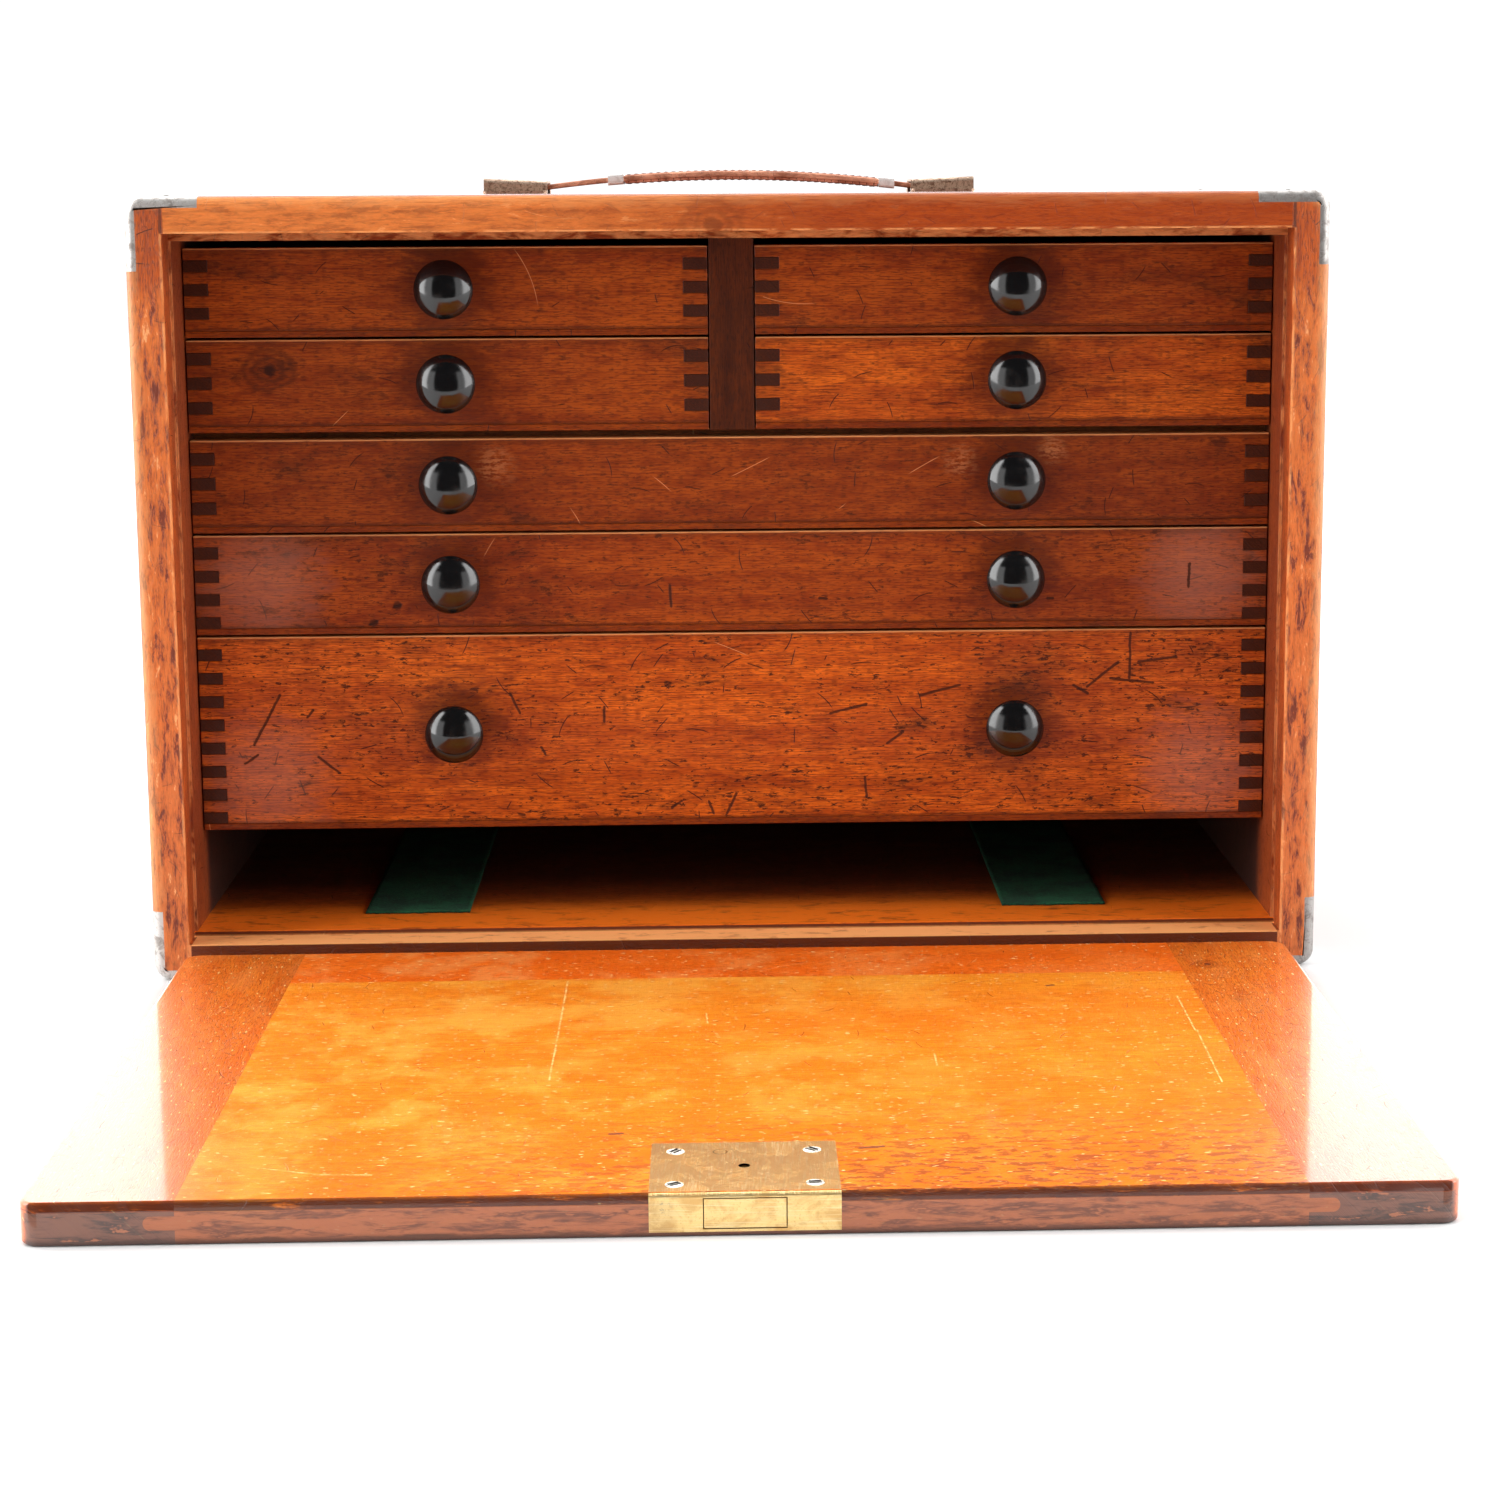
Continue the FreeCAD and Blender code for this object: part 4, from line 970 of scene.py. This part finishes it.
def bentPiece(name, bm, finish, side, node=None):
    # A piece of the handle, with its place baked into its mesh; the left half stands for the CAD node
    nodes = (node,) if node and side < 0 else ()
    piece = addPiece(name, bm, finish, None, nodes, 40.0)
    end = "handle_end_left" if side < 0 else "handle_end_right"
    side * strap["blendFrom"]
    side * strap["blendTo"]
    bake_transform(piece)


def thread(size, at):
    bm = bmesh.new()
    bmesh.ops.create_icosphere(bm, subdivisions=1, radius=0.5)
    bmesh.ops.scale(bm, vec=size, verts=bm.verts)
    bmesh.ops.translate(bm, vec=at, verts=bm.verts)
    return bm


def stitches(x0, x1):
    # Thread along both edges, above and below, and over the edge from hole to hole
    parts = []
    count = int((x1 - x0) / grip["stitch"])
    for index in range(count):
        x = x0 + (index + 0.5) * (x1 - x0) / count
        low, high = gripLow(x), gripHigh(x)
        for side in (-1, 1):
            for z in (high + nearly, low - nearly):
                parts.append(thread((grip["stitch"] * 0.7, grip["thread"], grip["thread"]),
                                    (x, side * grip["stitchRow"], z)))
            parts.append(thread((grip["thread"], grip["thread"], high - low),
                                (x, side * grip["width"] / 2, (low + high) / 2)))
    return joined(parts)


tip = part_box("handle_strap")[1].x
for side, word in ((-1, "Left"), (1, "Right")):
    x0, x1 = sorted((0.0, side * tip))
    bm = ribbon(x0, x1, strap["width"], strapLow, strapHigh, strap["steps"], strap["soft"])
    bentPiece("strapHalf" + word, bm, strapLeather, side, "handle_strap")

gripLeft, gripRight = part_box("handle_grip")[0].x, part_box("handle_grip")[1].x
for side, word, x0, x1 in ((-1, "Left", gripLeft, 0.0), (1, "Right", 0.0, gripRight)):
    bm = ribbon(x0, x1, grip["width"], gripLow, gripHigh, grip["steps"], grip["soft"])
    bentPiece("gripHalf" + word, bm, gripLeather, side, "handle_grip")
    bentPiece("gripStitches" + word, stitches(x0, x1), threadDark, side)

for side, word, x in zip((-1, 1), ("Left", "Right"), keeper["places"]):
    bm = ribbon(x - keeper["half"], x + keeper["half"], keeper["width"], raised(strapLow, -keeper["wall"]),
                raised(strapHigh, keeper["wall"]), keeper["steps"], keeper["soft"])
    bentPiece("keeper" + word, bm, keeperSteel, side, "handle_keepers")
print("handle made")


# Floor, light and camera

# Pairs of the sky are directions: how far forward, or how high, a light starts and is full
studio = {"floorFront": -0.62, "floorBack": 5.0, "floorSide": 4.0, "back": 3.2, "side": 6.0,
          "leftShare": 1.2, "quarter": 1.4, "room": 0.04, "seen": 1.1, "behind": (-0.45, -0.2),
          "sideFrom": (-0.3, -0.1), "sideTo": (0.42, 0.56), "sideTop": (0.80, 0.88),
          "quarterTo": (0.76, 0.84), "quarterTop": (0.5, 0.62)}

bm = bmesh.new()
bmesh.ops.create_grid(bm, x_segments=2, y_segments=2, size=1.0)
near, far = studio["floorFront"], studio["floorBack"]
bmesh.ops.scale(bm, vec=(studio["floorSide"], (far - near) / 2, 1), verts=bm.verts)
bmesh.ops.translate(bm, vec=(0, (far + near) / 2, 0), verts=bm.verts)
mesh = bpy.data.meshes.new("floor")
bm.to_mesh(mesh)
bm.free()
mesh.materials.append(Finish("floorWhite", {"Roughness": 0.9, "Base Color": (0.7, 0.7, 0.7, 1)}).owner)
floor = bpy.data.objects.new("floor", mesh)
bpy.context.collection.objects.link(floor)

world = bpy.data.worlds.new("studio")
bpy.context.scene.world = world
sky = Finish("studio", owner=world)
x, y, z = sky.split(sky.node("ShaderNodeTexCoord", output="Generated"))
level = (x * x + y * y) ** 0.5 + 0.00001
ahead = (y * -1.0) / level
back = ahead.fall(*studio["behind"])
sides = ahead.rise(*studio["sideFrom"]) * ahead.fall(*studio["sideTo"]) * z.fall(*studio["sideTop"])
quarters = ahead.rise(*studio["sideTo"]) * ahead.fall(*studio["quarterTo"]) * z.fall(*studio["quarterTop"])
left = x.fall(-0.01, 0.01)
lit = (sides * studio["side"] + quarters * studio["quarter"]) * (left * (studio["leftShare"] - 1.0) + 1.0)
strength = lit + back * studio["back"] + studio["room"]
seen = sky.node("ShaderNodeLightPath", output="Is Camera Ray")
strength = strength * (1.0 - seen) + seen * studio["seen"]
background = sky.nodes["Background"]
sky.links.new(strength.socket, background.inputs["Strength"])
background.inputs["Color"].default_value = (1, 1, 1, 1)

view = {"place": (-0.00584, -1.2038, 0.3063), "yaw": 0.03096, "pitch": 0.15748, "roll": -0.00521,
        "lens": 68.408, "shift": (-0.03827, -0.07386)}
cameraData = bpy.data.cameras.new("camera")
cameraData.lens = view["lens"]
cameraData.sensor_width = 36.0
cameraData.shift_x, cameraData.shift_y = view["shift"]
camera = bpy.data.objects.new("camera", cameraData)
bpy.context.collection.objects.link(camera)
yaw, pitch = view["yaw"], view["pitch"]
ahead = Vector((math.sin(yaw) * math.cos(pitch), math.cos(yaw) * math.cos(pitch), -math.sin(pitch)))
turn = ahead.to_track_quat("-Z", "Y").to_matrix().to_4x4() @ Matrix.Rotation(view["roll"], 4, "Z")
camera.matrix_world = Matrix.Translation(view["place"]) @ turn
bpy.context.scene.camera = camera
bpy.context.scene.view_settings.view_transform = "Standard"
print("studio made")
